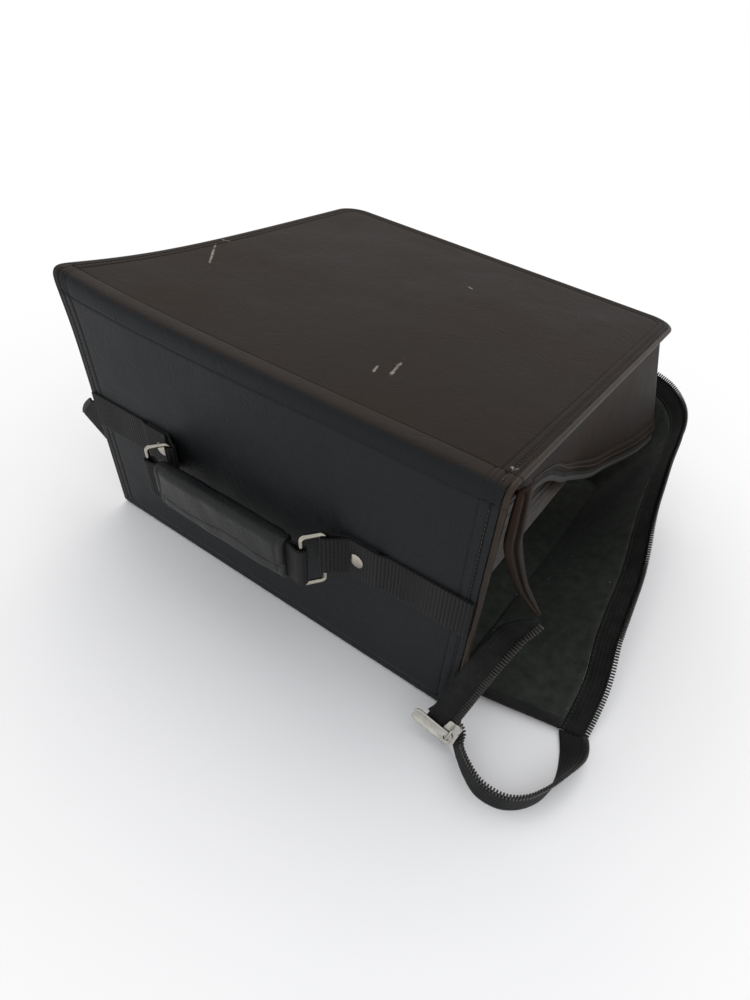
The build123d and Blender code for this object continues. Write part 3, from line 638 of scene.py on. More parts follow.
def stitches(name, path, normal, pitch=3.1 * mm, radius=0.33 * mm, length=2.5 * mm):
    """A row of threads on a line. A thread's radius follows a flattened half circle along it,
    and its middle stands proud while its ends sink."""
    share = np.array([0, 0.12, 0.35, 0.65, 0.88, 1.0])[:, None]
    swollen = radius * np.array([0.35, 0.8, 1, 1, 0.8, 0.35])[:, None]
    lift = radius * np.array([-1.2, -0.1, 0.35, 0.35, -0.1, -1.2])[:, None]
    turn = np.linspace(0, 2 * np.pi, 6, endpoint=False)
    shape = np.stack(np.broadcast_arrays((share - 0.5) * length, swollen * np.cos(turn),
                                         lift + swollen * np.sin(turn)), axis=-1)
    return repeated(name, shape, *along_line(path, normal, pitch))


# Spun thread is black brown and matt, with a faint bloom. Its twist is 0.4 mm long.
thread = empty_material("polyester thread")
twist = node(thread, "TexNoise", {"Vector": object_point(thread), "Scale": 1 / (0.4167 * mm),
                                  "Detail": 2.0})
thread_tone = node(thread, "Mix", {"Factor": twist.outputs["Fac"], 6: colour("#0E0D0D"),
                                   7: colour("#262321")}, data_type="RGBA")
finish_material(thread, {"Base Color": thread_tone.outputs[2], "Roughness": 0.62,
                         "Sheen Weight": 0.2, "Sheen Roughness": 0.4})
groove_from_edge, groove_depth = 3.5 * mm, 0.75 * mm
x, y = rim(skin_inset + groove_from_edge, ridge_y + 5 * mm, ridge_far_y)[:2]
groove_path = swell(np.stack([x, y, cover_top(x, y) - groove_depth], axis=1))
place(stitches("front_cover_stitches", groove_path, (0, 0, 1)), thread, "front_cover", "piping")
x, y = rim(skin_inset + groove_from_edge, near_y + fold_reach, far_y)[:2]
groove_path = np.stack([x, y, np.full(x.shape, 0.35 * mm + groove_depth)], axis=1)
place(stitches("back_cover_stitches", groove_path, (0, 0, -1)), thread, "back_cover", "piping")
for side, name in ((-1, "left"), (1, "right")):
    groove_x = side * (half_length - skin_inset - groove_from_edge * welt_stretch)
    groove_height = np.linspace(12 * mm, spine_height - 16 * mm, 80)
    groove_path = swell(on_spine(groove_x, groove_height, -groove_depth))
    place(stitches(f"spine_{name}_stitches", groove_path, spine_out), thread, "spine", "piping")

# Lower side wall
# Soft wall of the back cover: leatherette outside and a woven lining inside, sewn together at
# the hem. Undone, it has flopped out to the right and rises round the far corner.
wall_inset = 8 * mm
lower_root_height = 4.8 * mm
wall_thickness = 1.2 * mm
wall_lining_thickness = 0.8 * mm
lower_width = 80 * mm
lower_start, lower_left_end = 18 * mm, 9 * mm
lower_slack = 0.55 * mm
wall_columns = np.linspace(0, 1, 26)


def smooth_through(keys, values, at, cautious=False):
    """Values on a smooth curve through keys: cubic pieces, whose slope at a key is a mean of the
    slopes on its two sides. If cautious it is their harmonic mean, or level where they differ in
    sign, and then the curve never overshoots."""
    keys, values = np.asarray(keys, float), np.asarray(values, float)
    slopes = np.gradient(values, keys, axis=0)
    if cautious:
        sides = np.diff(values) / np.diff(keys)
        before, after = sides[:-1], sides[1:]
        alike = before * after > 0
        slopes[1:-1] = np.where(alike, 2 * before * after / np.where(alike, before + after, 1), 0)
    i = np.clip(np.searchsorted(keys, at) - 1, 0, len(keys) - 2)
    gap = keys[i + 1] - keys[i]
    t = (at - keys[i]) / gap
    if values.ndim > 1:
        gap, t = gap[:, None], t[:, None]
    return ((2 * t ** 3 - 3 * t ** 2 + 1) * values[i] + (t ** 3 - 2 * t ** 2 + t) * gap * slopes[i]
            + (3 * t ** 2 - 2 * t ** 3) * values[i + 1] + (t ** 3 - t ** 2) * gap * slopes[i + 1])


class Strip:
    """A strip of fabric, row by row: its root line, the ways across it and out of its face, its
    width, and the distance run along its root."""

    def __init__(self, root, across, facing, width, run):
        self.root, self.across, self.facing = root, across, facing
        self.width, self.run = width, run

    def points(self, from_root, lift):
        """The root moved so far across the strip and so far out of its face."""
        lift = np.broadcast_to(lift, from_root.shape)
        return (self.root[:, None] + self.across[:, None] * from_root[..., None]
                + self.facing[:, None] * lift[..., None])

    def part(self, rows):
        """The same strip in some of its rows."""
        return Strip(self.root[rows], self.across[rows], self.facing[rows], self.width[rows],
                     self.run[rows])


def strip_on(root, across, along, width):
    """A strip on a root line, whose face looks the way of across times along."""
    across = unit(across)
    facing = unit(np.cross(across, along))
    return Strip(root, across, facing, np.broadcast_to(width, len(root)), lengths(root))


def wall_keys(places, start, left_end, far):
    """Runs along a wall's root, from its start: places on its right side, measured from the near
    edge, four spots round each far corner, and its left end."""
    arc = (corner_radius - wall_inset) * np.pi / 6 * np.arange(4)
    right = far - corner_radius - near_y - start
    left = right + arc[-1] + 2 * (half_length - corner_radius)
    end = left + arc[-1] + cover_depth - corner_radius - left_end
    return np.concatenate([np.array(places) * mm - start, right + arc, left + arc, [end]])


def wall_strip(x, y, height, bearing, keys, leans, widths):
    """A side wall's strip on a root line: at each key its lean above level and its width."""
    run = lengths(np.stack([x, y], axis=1))
    lean_at = np.radians(smooth_through(keys, leans, run, cautious=True))
    across = np.stack([np.cos(lean_at) * np.cos(bearing), np.cos(lean_at) * np.sin(bearing),
                       np.sin(lean_at)], axis=1)
    along = np.stack([-np.sin(bearing), np.cos(bearing), x * 0], axis=1)
    return strip_on(np.stack([x, y, height], axis=1), across, along,
                    smooth_through(keys, widths, run, cautious=True))


def ripples(strip, from_root, size):
    """Slow waves of slack cloth: three sines along the strip that grow away from its root."""
    run = strip.run[:, None]
    grow = np.clip(from_root / (60 * mm), 0, 1.4)
    waves = (np.sin(run / (17 * mm) + from_root / (31 * mm)) + 0.7 * np.sin(run / (41 * mm) + 1.3)
             + 0.5 * np.sin(run / (9.5 * mm) - from_root / (14 * mm) + 0.6))
    return size * grow * waves


def cloth(name, strip, near, far, lift, thickness, columns, ripple, flip=False):
    """A sheet on a strip, from near to far across it at a lift. columns are shares of the way
    across. It faces the strip's facing side, or the other if flip is set, and its thickness goes
    to its back. It never sinks into the table."""
    near, far = (np.broadcast_to(edge, len(strip.root))[:, None] for edge in (near, far))
    from_root = near * (1 - columns) + far * columns
    points = strip.points(from_root, lift + ripples(strip, from_root, ripple))
    points[..., 2] = np.maximum(points[..., 2], 0.3 * mm + (0 if flip else thickness))
    return thicken(surface(name, points if flip else points[:, ::-1]), thickness)


def line_on(strip, from_root, lift, ripple):
    """Points along a strip at a distance from its root, on a sheet with that lift and ripple."""
    from_root = from_root[:, None]
    return strip.points(from_root, lift + ripples(strip, from_root, ripple))[:, 0]


def woven(name, deep, light, pitch, lint=None, rib=None):
    """Plain-woven polyester or cotton: over and under threads of one pitch as two crossed sines,
    with uneven threads and a faint bloom at grazing angles. The threads are drawn about twice as
    wide as real ones. lint strews pale specks, and rib adds lengthwise rows at its own pitch."""
    material = empty_material(name)
    point = object_point(material)
    split = node(material, "SeparateXYZ", {0: node(material, "TexCoord").outputs["UV"]})
    sines = []
    for axis, spacing in [(0, pitch), (1, pitch)] + ([(1, rib)] if rib else []):
        turns = node(material, "Math", {0: split.outputs[axis], 1: 2 * np.pi / spacing},
                     operation="MULTIPLY")
        sines.append(node(material, "Math", {0: turns}, operation="SINE"))
    weave = node(material, "Math", {0: sines[0], 1: sines[1]}, operation="MULTIPLY")
    weave = node(material, "MapRange", {"Value": weave, "From Min": -1.0})
    if rib:
        weave = node(material, "Math", {0: weave, 1: sines[2]}, operation="ADD")
    uneven = node(material, "TexNoise", {"Vector": point, "Scale": 1 / (8.333 * mm), "Detail": 4.0})
    fuzz = node(material, "TexNoise", {"Vector": point, "Scale": 1 / (0.6667 * mm), "Detail": 2.0})
    mixed = node(material, "Math", {0: uneven.outputs["Fac"], 1: fuzz.outputs["Fac"]}, operation="MULTIPLY")
    tone = node(material, "MapRange", {"Value": mixed, "From Min": 0.12, "From Max": 0.42})
    base = node(material, "Mix", {"Factor": tone, 6: colour(deep), 7: colour(light)},
                data_type="RGBA").outputs[2]
    if lint:
        specks = node(material, "TexVoronoi", {"Vector": point, "Scale": 1 / (16.667 * mm)})
        speck = node(material, "MapRange", {"Value": specks.outputs["Distance"], "From Min": 0.05,
                                            "From Max": 0.03, "To Max": 0.45})
        base = node(material, "Mix", {"Factor": speck, 6: base, 7: colour(lint)},
                    data_type="RGBA").outputs[2]
    relief = node(material, "Bump", {"Height": weave, "Distance": 0.22 * mm, "Strength": 0.55})
    return finish_material(material, {"Base Color": base, "Roughness": 0.85, "Sheen Weight": 0.06,
                                      "Sheen Roughness": 0.5, "Specular IOR Level": 0.12, "Normal": relief})


# Places along the right side in millimetres, each with the lean in degrees and the share of the
# width, and then leans and shares round the far corners and at the left end.
lower_right = [(18, -3.0, 0.90), (62, 7, 0.88), (101, 20.8, 0.85), (166, 32.6, 0.85), (204, 45.8, 0.91),
               (254, 55.6, 0.98)]
lower_rest = [(61, 1.06), (64, 1.18), (68, 1.28), (70, 1.31), (71, 1.28), (74, 1.24), (78, 1.13),
              (84, 1.0), (86, 1.0)]
x, y, bearing = rim(wall_inset, near_y + lower_start, far_y, near_y + lower_left_end)
turned_right = np.interp(lengths(np.stack([x, y], axis=1)), [0, 44 * mm, 83 * mm], [12.7, 5.0, 0])
keys = wall_keys([row[0] for row in lower_right], lower_start, lower_left_end, far_y)
lean_share = np.array([row[-2:] for row in lower_right + lower_rest])
lower_wall = wall_strip(x, y, np.full(x.shape, lower_root_height), bearing + np.radians(turned_right),
                        keys, lean_share[:, 0], lean_share[:, 1] * lower_width)

# Thin brown leatherette, duller than the covers' because nothing has rubbed it.
wall_leather = leatherette("brown leatherette", "#150E09", "#2B1F16", roughness=(0.46, 0.6), gloss=0.06,
                           grain=1.3 * mm)
outside = cloth("lower_side_wall", lower_wall, 0, lower_wall.width, 0, wall_thickness, wall_columns,
                lower_slack, flip=True)
place(outside, wall_leather, "back_cover", "gusset_leather", "lower_gusset")

# Lining cloth is grey black with a green cast, quite without gloss, and dusted with pale lint.
lining_cloth = woven("woven polyester lining", "#242723", "#3A3E39", 1.3 * mm, lint="#A9AAA2")
lining_lift = wall_thickness + 0.15 * mm + wall_lining_thickness
lining = cloth("lower_side_lining", lower_wall, -3.5 * mm, lower_wall.width, lining_lift,
               wall_lining_thickness, wall_columns, lower_slack)
place(lining, lining_cloth, "back_cover", "lining", "lower_gusset_lining")

# The free end of the wall is bound with a folded strip of matt black cotton, sewn through.
hem_cloth = woven("cotton binding", "#1A1B1A", "#2B2C2A", 0.9 * mm)
bound = lower_wall.part(slice(0, 4))
hem = cloth("lower_wall_hem", bound, 2 * mm, bound.width + 0.3 * mm, lining_lift + 0.5 * mm, 0.6 * mm,
            wall_columns, lower_slack)
place(hem, hem_cloth, "back_cover", "lining")
hem_line = lower_wall.part(slice(2, 3)).points(
    np.linspace(4 * mm, 0.98 * lower_wall.width[2], 40)[None], lining_lift + 0.55 * mm)[0]
place(stitches("lower_hem_stitches", hem_line, (0, 0, 1), radius=0.28 * mm), thread, "back_cover",
      "lining")

# Lower zip tape and teeth
# One half of a coil zip sewn along the wall's hem: a polyester tape in herringbone, and black
# nylon teeth on its free edge, one every 2 mm.
tape_width = 15.5 * mm
tape_thickness = 0.9 * mm
tape_columns = np.linspace(0, 1, 9)
hem_gap = 0.15 * mm


def teeth(name, edge, facing, outward=-1):
    """Zip teeth along a tape's edge. A tooth is a rounded bar that starts on the tape, keeps its
    section and narrows at its head."""
    reach = outward * np.array([-1.4, -1.15, 2.35, 3.0])[:, None] * mm
    half_run = np.array([0.4, 0.6, 0.6, 0.42])[:, None] * mm
    half_high = np.array([0.8, 1.1, 1.1, 0.75])[:, None] * mm
    turn = np.linspace(0, 2 * np.pi, 8, endpoint=False) + np.pi / 8
    side, high = [np.sign(f(turn)) * np.abs(f(turn)) ** 0.55 for f in (np.cos, np.sin)]
    shape = np.stack(np.broadcast_arrays(half_run * side, reach, half_high * high), axis=-1)
    if outward < 0:
        shape = shape[:, ::-1]
    return repeated(name, shape, *along_line(edge, facing, pitch=2.0 * mm))


# Zip tape is close-woven and soft black, its rows just showing where light grazes them.
tape_cloth = woven("polyester zip tape", "#121312", "#232522", 1.0 * mm, rib=2.6 * mm)
lower_hem = lower_wall.width + hem_gap
tape = cloth("lower_tape", lower_wall, lower_hem, lower_hem + tape_width, 1.1 * mm, tape_thickness,
             tape_columns, lower_slack)
place(tape, tape_cloth, "back_cover", "zip_tape", "lower_zip_tape")
tape_line = line_on(lower_wall, lower_hem + 1.6 * mm, 1.15 * mm, lower_slack)
place(stitches("lower_tape_stitches", tape_line, lower_wall.facing, radius=0.26 * mm), thread,
      "back_cover", "zip_tape")

# Nylon teeth are smooth and black, and each catches a small highlight. Use has dusted them brown.
nylon = empty_material("moulded black nylon")
nylon_wear = node(nylon, "TexNoise", {"Vector": object_point(nylon), "Scale": 1 / (3.333 * mm),
                                      "Detail": 3.0})
nylon_tone = node(nylon, "Mix", {"Factor": nylon_wear.outputs["Fac"], 6: colour("#0F0F0E"),
                                 7: colour("#2E2A25")}, data_type="RGBA")
finish_material(nylon, {"Base Color": nylon_tone.outputs[2], "Roughness": 0.38})
edge = line_on(lower_wall, lower_hem + tape_width, 0.9 * mm, lower_slack)
edge[:, 2] = np.maximum(edge[:, 2], 1.4 * mm)
place(teeth("lower_teeth", edge, lower_wall.facing), nylon, "back_cover", "zip_chain", "lower_zip_chain")

# Lower zip's loose end
# The tape runs on past the wall, twists up onto its plain edge, and lies in a loop on the table
# that comes back to the slider. Its last piece passes behind the slider and runs up to the fold.
tail_places = [((69.5, 18.0), (0.80, 0.10, 0.50)), ((73.5, -3.0), (0.25, -0.12, 0.95)),
               ((71.0, -19.0), (0.05, -0.08, 1.0)), ((63.0, -31.0), (0.02, -0.02, 1.0)),
               ((51.0, -39.0), (0.0, 0.0, 1.0)), ((38.0, -40.0), (0.0, 0.0, 1.0)),
               ((26.0, -33.5), (0.02, -0.02, 1.0)), ((16.5, -25.5), (0.05, -0.08, 1.0))]
end_places = [((16.5, -25.5, 0.4), (0.05, -0.08, 1.0)), ((10.5, -20.5, 2.6), (0.05, 0.08, 1.0)),
              ((-1, -17.2, 8), (0.14, 0.1, 0.98)), ((-12.5, -15.5, 13), (0.22, 0.1, 0.97))]
spine_corner = np.array([half_length, near_y, 0])


def strip_through(spots, ways, step):
    """A strip of zip tape through spots with the way across it at each, smooth in both. Its face
    looks the way of along times across."""
    keys = lengths(spots)
    at = np.linspace(0, keys[-1], int(keys[-1] / step))
    root = smooth_through(keys, spots, at)
    across = smooth_through(keys, unit(ways), at)
    along = -np.gradient(root, axis=0)
    across -= along * (np.sum(across * along, axis=1) / np.sum(along * along, axis=1))[:, None]
    return strip_on(root, across, along, tape_width)


def loose_end(name, strip, kinks, nodes, bend=None):
    """A bare length of zip on a strip, tape and teeth. Gentle kinks of one size die out at both
    ends. It rides on the back cover, or, if bend is given, it is left in place on no body.
    bend names two bodies and the places where a bend starts and ends, but these are not used."""
    share = (strip.run / strip.run[-1])[:, None]
    kinks = kinks * np.sin(np.pi * share) * np.sin(strip.run[:, None] / (7 * mm))
    from_root = tape_columns * strip.width[:, None]
    tape_points = strip.points(from_root, kinks * (0.4 + from_root / tape_width))
    tape = thicken(surface(f"{name}_tape", tape_points[:, ::-1]), tape_thickness, outward=0)
    chain = teeth(f"{name}_teeth", tape_points[:, -1], strip.facing, outward=1)
    body = None if bend else "back_cover"
    place(tape, tape_cloth, body, "zip_tape", nodes[0])
    place(chain, nylon, body, "zip_chain", *nodes[1:])
    if bend:
        for piece in (tape, chain):
            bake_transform(piece)


tail_start = lower_wall.points(lower_hem[:, None], 0.2 * mm)[0]
tail_spots = [spine_corner + [a * mm, b * mm, 0.4 * mm] for (a, b), _ in tail_places]
lower_tail = strip_through(np.array([*tail_start, *tail_spots]),
                           np.array([lower_wall.across[0]] + [way for _, way in tail_places]), 1.8 * mm)
loose_end("lower_tail", lower_tail, 0.5 * mm, ["lower_zip_tail", "lower_tail_chain"])

tail_end = strip_through(np.array([spine_corner + np.array(spot) * mm for spot, _ in end_places]),
                         np.array([way for _, way in end_places]), 1.5 * mm)
loose_end("lower_tail_end", tail_end, 0, ["lower_tail_end"], {
    "from": "back_cover", "to": "spine", "start": (half_length + 16.5 * mm, near_y - 25.5 * mm, 5 * mm),
    "end": (half_length + 2 * mm, near_y - 18 * mm, 12 * mm)})

# Upper side wall
# The front cover's soft wall, of brown leatherette with a hem turned over at its edge. It hangs
# from the cover, is tucked up beside the spine, and flares out towards the far right corner.
upper_start, upper_left_end = -4 * mm, 16 * mm
upper_root_depth = 5.85 * mm
upper_slack = 0.22 * mm

# Places along the right side in millimetres, each with the drop below level in degrees and the
# width, and then the same round the far corners and at the left end.
upper_right = [(-4, 26, 12), (14, 50, 12), (30, 84, 12), (75, 90, 22), (130, 90, 50), (200, 85, 74),
               (272, 75, 78)]
upper_rest = [(drop, 78) for drop in (74, 76, 80, 86, 90, 90, 90, 90, 90)]
drop_width = np.array([row[-2:] for row in upper_right + upper_rest])
x, y, bearing = rim(wall_inset, near_y + upper_start, ridge_far_y, ridge_y + upper_left_end)
root_height = swell(np.stack([x, y, cover_top(x, y)], axis=1))[:, 2] - upper_root_depth
keys = wall_keys([row[0] for row in upper_right], upper_start, upper_left_end, ridge_far_y)
upper_wall = wall_strip(x, y, root_height, bearing, keys, -drop_width[:, 0], drop_width[:, 1] * mm)

# The hem stands 0.6 mm proud beyond a sewn groove, so more columns are spent there.
hem_share = 0.885
hem_columns = np.concatenate([np.linspace(0, 0.86, 22), np.linspace(0.87, 1, 16)])
hem_rise = 0.6 * mm * np.clip((hem_columns - hem_share) / 0.02, 0, 1) ** 2
hem_rise -= 0.5 * mm * np.exp(-((hem_columns - hem_share + 0.007) / 0.006) ** 2)
leather_width = upper_wall.width + 9.5 * mm * np.clip((upper_wall.run - 20 * mm) / (15 * mm), 0, 1)
outside = cloth("upper_side_wall", upper_wall, 0, leather_width, wall_thickness + hem_rise, wall_thickness,
                hem_columns, upper_slack)
place(outside, wall_leather, "front_cover", "gusset_leather")
inner = cloth("upper_side_lining", upper_wall, 0, upper_wall.width, -0.95 * mm, wall_lining_thickness,
              wall_columns, upper_slack, flip=True)
place(inner, lining_cloth, "front_cover", "lining", "upper_gusset_lining")
hanging = slice(16, None)
seam_line = line_on(upper_wall, leather_width - 3.5 * mm, wall_thickness + 0.55 * mm, upper_slack)
place(stitches("upper_wall_stitches", seam_line[hanging], upper_wall.facing[hanging]), thread,
      "front_cover", "gusset_leather")

taped = upper_wall.part(slice(14, None))
upper_hem = taped.width + hem_gap
tape = cloth("upper_tape", taped, upper_hem - 1.5 * mm, upper_hem + tape_width, 0, tape_thickness,
             tape_columns, upper_slack)
place(tape, tape_cloth, "front_cover", "zip_tape", "upper_zip_tape")
edge = line_on(taped, upper_hem + tape_width, -0.4 * mm, upper_slack)
place(teeth("upper_teeth", edge, taped.facing), nylon, "front_cover", "zip_chain", "upper_zip_chain")

# Folded end of the upper wall
# The wall's end at the spine has folded on itself and hangs as a narrow pointed flap, its crease
# to the front, with the zip running out of its tip.

# Each level gives a height, the middle's places in x and y there, and the half widths in x and y.
flap_levels = [(196.5, 2.6, -4.5, 2.0, 7.0), (193, 3.2, -4.5, 2.6, 7.8), (176, 3.8, -3.4, 3.2, 8.6),
               (158, 5.0, -0.9, 3.5, 8.2), (130, 12.6, 7.6, 3.0, 5.6), (114, 19.4, 14.8, 2.2, 3.7),
               (104, 24.2, 19.6, 1.3, 2.0), (101, 25.4, 21.0, 0.6, 0.9)]
flap = smooth_through(np.linspace(0, 1, len(flap_levels)), np.array(flap_levels) * mm,
                      np.linspace(0, 1, 60))
flap_z, flap_middle_x, flap_middle_y, flap_half_x, flap_half_y = flap.T[..., None]
turn = np.linspace(0, 2 * np.pi, 40, endpoint=False)
dent = 1 - sum(deep * np.exp(-((turn - at) / wide) ** 2)
               for deep, at, wide in ((0.45, 2.2, 0.3), (0.5, 5.4, 0.22), (0.3, 4.0, 0.25)))
flap_points = np.stack(np.broadcast_arrays(
    half_length + flap_middle_x + flap_half_x * dent * (np.cos(turn) - 0.25 * np.sin(2 * turn)),
    near_y + flap_middle_y + flap_half_y * dent * (np.sin(turn) + 0.2 * np.cos(turn)), flap_z), axis=-1)
flap_piece = surface("upper_wall_flap", flap_points, ring=True, ends=True)
place(flap_piece, wall_leather, "front_cover", "gusset_leather", "upper_gusset")

# Upper zip's loose end
# It comes out of the flap's tip and hangs past the spine's lower corner with its teeth to the
# right. Its lower run is straight, and the slider sits there.
foot_middle = spine_corner + np.array([-3.5, -25.0, 11.5]) * mm
knee_middle = spine_corner + np.array([7.6, -5.4, 61.0]) * mm
head_middle = spine_corner + np.array([20.0, 22.5, 96.0]) * mm
tip_middle = head_middle + np.array([3.2, 2.0, 8.0]) * mm
tail_way = unit(knee_middle - foot_middle)
level_way = np.array([0.96, 0, -0.27])
tail_across = unit(level_way - tail_way * (level_way @ tail_way))
run_middles = [foot_middle * (1 - share) + knee_middle * share for share in (1, 0.96, 0.9, 0.4, 0)]
upper_ways = unit(np.array([(0.6, 0.1, 0.5), (0.9, 0.0, 0.42)] + [tail_across] * len(run_middles)))
upper_middles = np.array([tip_middle, head_middle, *run_middles])
upper_tail = strip_through(upper_middles - upper_ways * tape_width / 2, upper_ways, 1.6 * mm)
# Inside the flap's tip the tape is gathered to a quarter of its width, mostly from its root side.
upper_tail.width = tape_width * (0.28 + 0.72 * np.clip(upper_tail.run / (22 * mm), 0, 1) ** 0.8)
upper_tail.root += upper_tail.across * ((tape_width - upper_tail.width) * 0.75)[:, None]
loose_end("upper_tail", upper_tail, 0, ["upper_zip_tail", "upper_tail_chain"], {
    "from": "spine", "to": "front_cover", "start": tuple(knee_middle + tail_way * 4 * mm),
    "end": tuple(head_middle)})

# Left end of the zip
# Both tapes are folded together and sewn shut at the spine's left end, and stand out past it. The
# fold is not quite flat, and its teeth are at its outer edge.
fold_y, fold_long = near_y + 7.9 * mm, 46 * mm
fold_low, fold_high, fold_narrowing = 42 * mm, 102 * mm, 25 * mm


def left_fold(out, share):
    """Points of the fold so far out from the case, at a share of its height there. It narrows
    outward from both sides, and its outer edge leans back towards the top."""
    low = fold_low + fold_narrowing * np.clip(out / fold_long, 0, 1)
    high = fold_high - 16 * mm * np.clip(out / (40 * mm), 0, 1)
    return np.stack(np.broadcast_arrays(
        -half_length - out * (1 - 0.33 * share ** 1.6), fold_y + 0.6 * mm * np.sin(out / (6 * mm)) * share,
        low * (1 - share) + high * share), axis=-1)


fold_points = left_fold(np.linspace(-4 * mm, fold_long, 30)[:, None], np.linspace(0, 1, 14))
folded = surface("left_zip_fold", fold_points)
place(thicken(folded, 1.9 * mm, outward=0), tape_cloth, "back_cover", "zip_tape", "left_zip_end")
fold_edge = left_fold(fold_long, np.linspace(0, 1, 24))
fold_edge[:, 1] = fold_y
place(teeth("left_fold_teeth", fold_edge, (0, -1, 0), outward=1), nylon, "back_cover", "zip_chain")

# Turned edges
# The skins' leatherette is turned in over the boards' edges and glued down, and the side walls
# are sewn on over it. Each step of the turn gives its distance in from the edge and its depth.
turned_in = np.array([(3.2, 2.9), (3.3, 4.2), (3.7, 4.7), (5.0, 4.85), (7.0, 4.85), (9.4, 4.85)]) * mm
turned_thickness = 0.4 * mm
for name, start_y, end_y in (("back", near_y, far_y), ("front", ridge_y, ridge_far_y)):
    columns = []
    for inset, depth in turned_in:
        x, y = rim(inset, start_y + 2.5 * mm, end_y)[:2]
        height = x * 0 + depth if name == "back" else cover_top(x, y) - depth
        columns.append(np.stack([x, y, height], axis=1))
    turned = np.stack(columns, axis=1)
    turned = turned if name == "back" else swell(turned)[:, ::-1]
    place(thicken(surface(f"{name}_turned_edge", turned), turned_thickness), highlit_bead_leather, f"{name}_cover",
          "cover_leather")
turned_height = np.linspace(5.5 * mm, spine_height - 5.5 * mm, 40)[:, None]
for side, name in ((-1, "left"), (1, "right")):
    turned = swell(on_spine(side * (half_length - turned_in[:, 0]), turned_height, -turned_in[:, 1]))
    turned = turned if side < 0 else turned[:, ::-1]
    place(thicken(surface(f"spine_{name}_turned_edge", turned), turned_thickness), highlit_bead_leather, "spine",
          "spine_leather")

# Cover and spine linings
# The lining's cloth covers the boards inside, over the turned edges. It is glued flat and stops at
# the soft walls.
lining_inset, lining_gap = 10.6 * mm, 2.2 * mm
lining_depth, lining_thickness = 5.4 * mm, 0.9 * mm
x, y = cover_grid(near_y + lining_gap, far_y, lining_inset)[:2]
back_lining = surface("back_cover_lining", np.stack([x, y, np.full(x.shape, lining_depth)], axis=-1))
place(thicken(back_lining, lining_thickness), lining_cloth, "back_cover", "lining", "back_lining")
y = y + ridge_y - near_y
front_lining = surface("front_cover_lining",
                       np.stack([x, y, cover_top(x, y) - lining_depth], axis=-1)[::-1])
place(thicken(front_lining, lining_thickness), lining_cloth, "front_cover", "lining", "front_lining")
x, height = np.meshgrid(np.linspace(-half_length + 4.1 * mm, half_length - 4.1 * mm, 60),
                        np.linspace(6.2 * mm, spine_height - 6.2 * mm, 40), indexing="ij")
spine_lining = surface("spine_inner_lining", on_spine(x, height, -lining_depth)[::-1])
place(thicken(spine_lining, lining_thickness), lining_cloth, "spine", "lining", "spine_lining")

# Straps and rivets
# Two pieces of 30 mm black polypropylene webbing, ribbed across, are sewn into the spine's end
# seams, folded back round a ring and held down by one nickel-plated rivet each.
strap_width, strap_thickness = 30 * mm, 1.6 * mm
strap_height = 101 * mm
loop_x, loop_stand_off, loop_radius = 69 * mm, 10 * mm, 2.85 * mm
strap_rest, ply_pitch = 0.95 * mm, 1.75 * mm
rivet_x = loop_x + 19 * mm
ply_tail = rivet_x + 14 * mm
rib_pitch, rib_depth = 2.5 * mm, 0.2 * mm


def webbing(name, path):
    """A ribbed band carried along a path, its width up the spine. Ribs are a cosine along it that
    dies out at the two woven edges."""
    path = evenly(path, int(lengths(path)[-1] / (0.4 * mm)))
    normal = unit(np.cross(np.gradient(path, axis=0), spine_up))
    share = np.array([-0.5, -0.485, -0.46, -0.3, -0.1, 0.1, 0.3, 0.46, 0.485, 0.5])[:, None]
    flat = np.clip((0.5 - np.abs(share)) / 0.04, 0, 1)
    ribs = rib_depth * np.cos(2 * np.pi * lengths(path) / rib_pitch)[:, None, None]
    points = path[:, None] + spine_up * share * strap_width + normal[:, None] * ribs * flat
    return thicken(surface(name, points), strap_thickness, outward=0)


# Flat woven filaments give a low sheen. Fine lengthwise threads run over the modelled ribs, whose
# crests are drawn a little lighter.
strap_web = empty_material("black polypropylene webbing")
web_place = node(strap_web, "SeparateXYZ", {0: node(strap_web, "TexCoord").outputs["UV"]})
threads = node(strap_web, "Math", {0: web_place.outputs[1], 1: 2 * np.pi / (1.15 * mm)},
               operation="MULTIPLY")
threads = node(strap_web, "Math", {0: threads}, operation="SINE")
crests = node(strap_web, "Math", {0: web_place.outputs[0], 1: 2 * np.pi / rib_pitch}, operation="MULTIPLY")
crests = node(strap_web, "Math", {0: crests}, operation="COSINE")
web_fuzz = node(strap_web, "TexNoise", {"Vector": object_point(strap_web), "Scale": 1 / (1.4286 * mm),
                                        "Detail": 3.0})
web_crest_tone = node(strap_web, "Math", {0: crests, 1: web_fuzz.outputs["Fac"]}, operation="MULTIPLY")
web_crest_tone = node(strap_web, "MapRange", {"Value": web_crest_tone, "From Min": -0.5, "From Max": 0.6})
web_tone = node(strap_web, "Mix", {"Factor": web_crest_tone, 6: colour("#060606"), 7: colour("#1F1F1E")},
                data_type="RGBA")
web_bump = node(strap_web, "Bump", {"Height": threads, "Distance": 0.12 * mm, "Strength": 0.5})
finish_material(strap_web, {"Base Color": web_tone.outputs[2], "Roughness": 0.6, "Specular IOR Level": 0.16,
                            "Sheen Weight": 0.05, "Normal": web_bump})

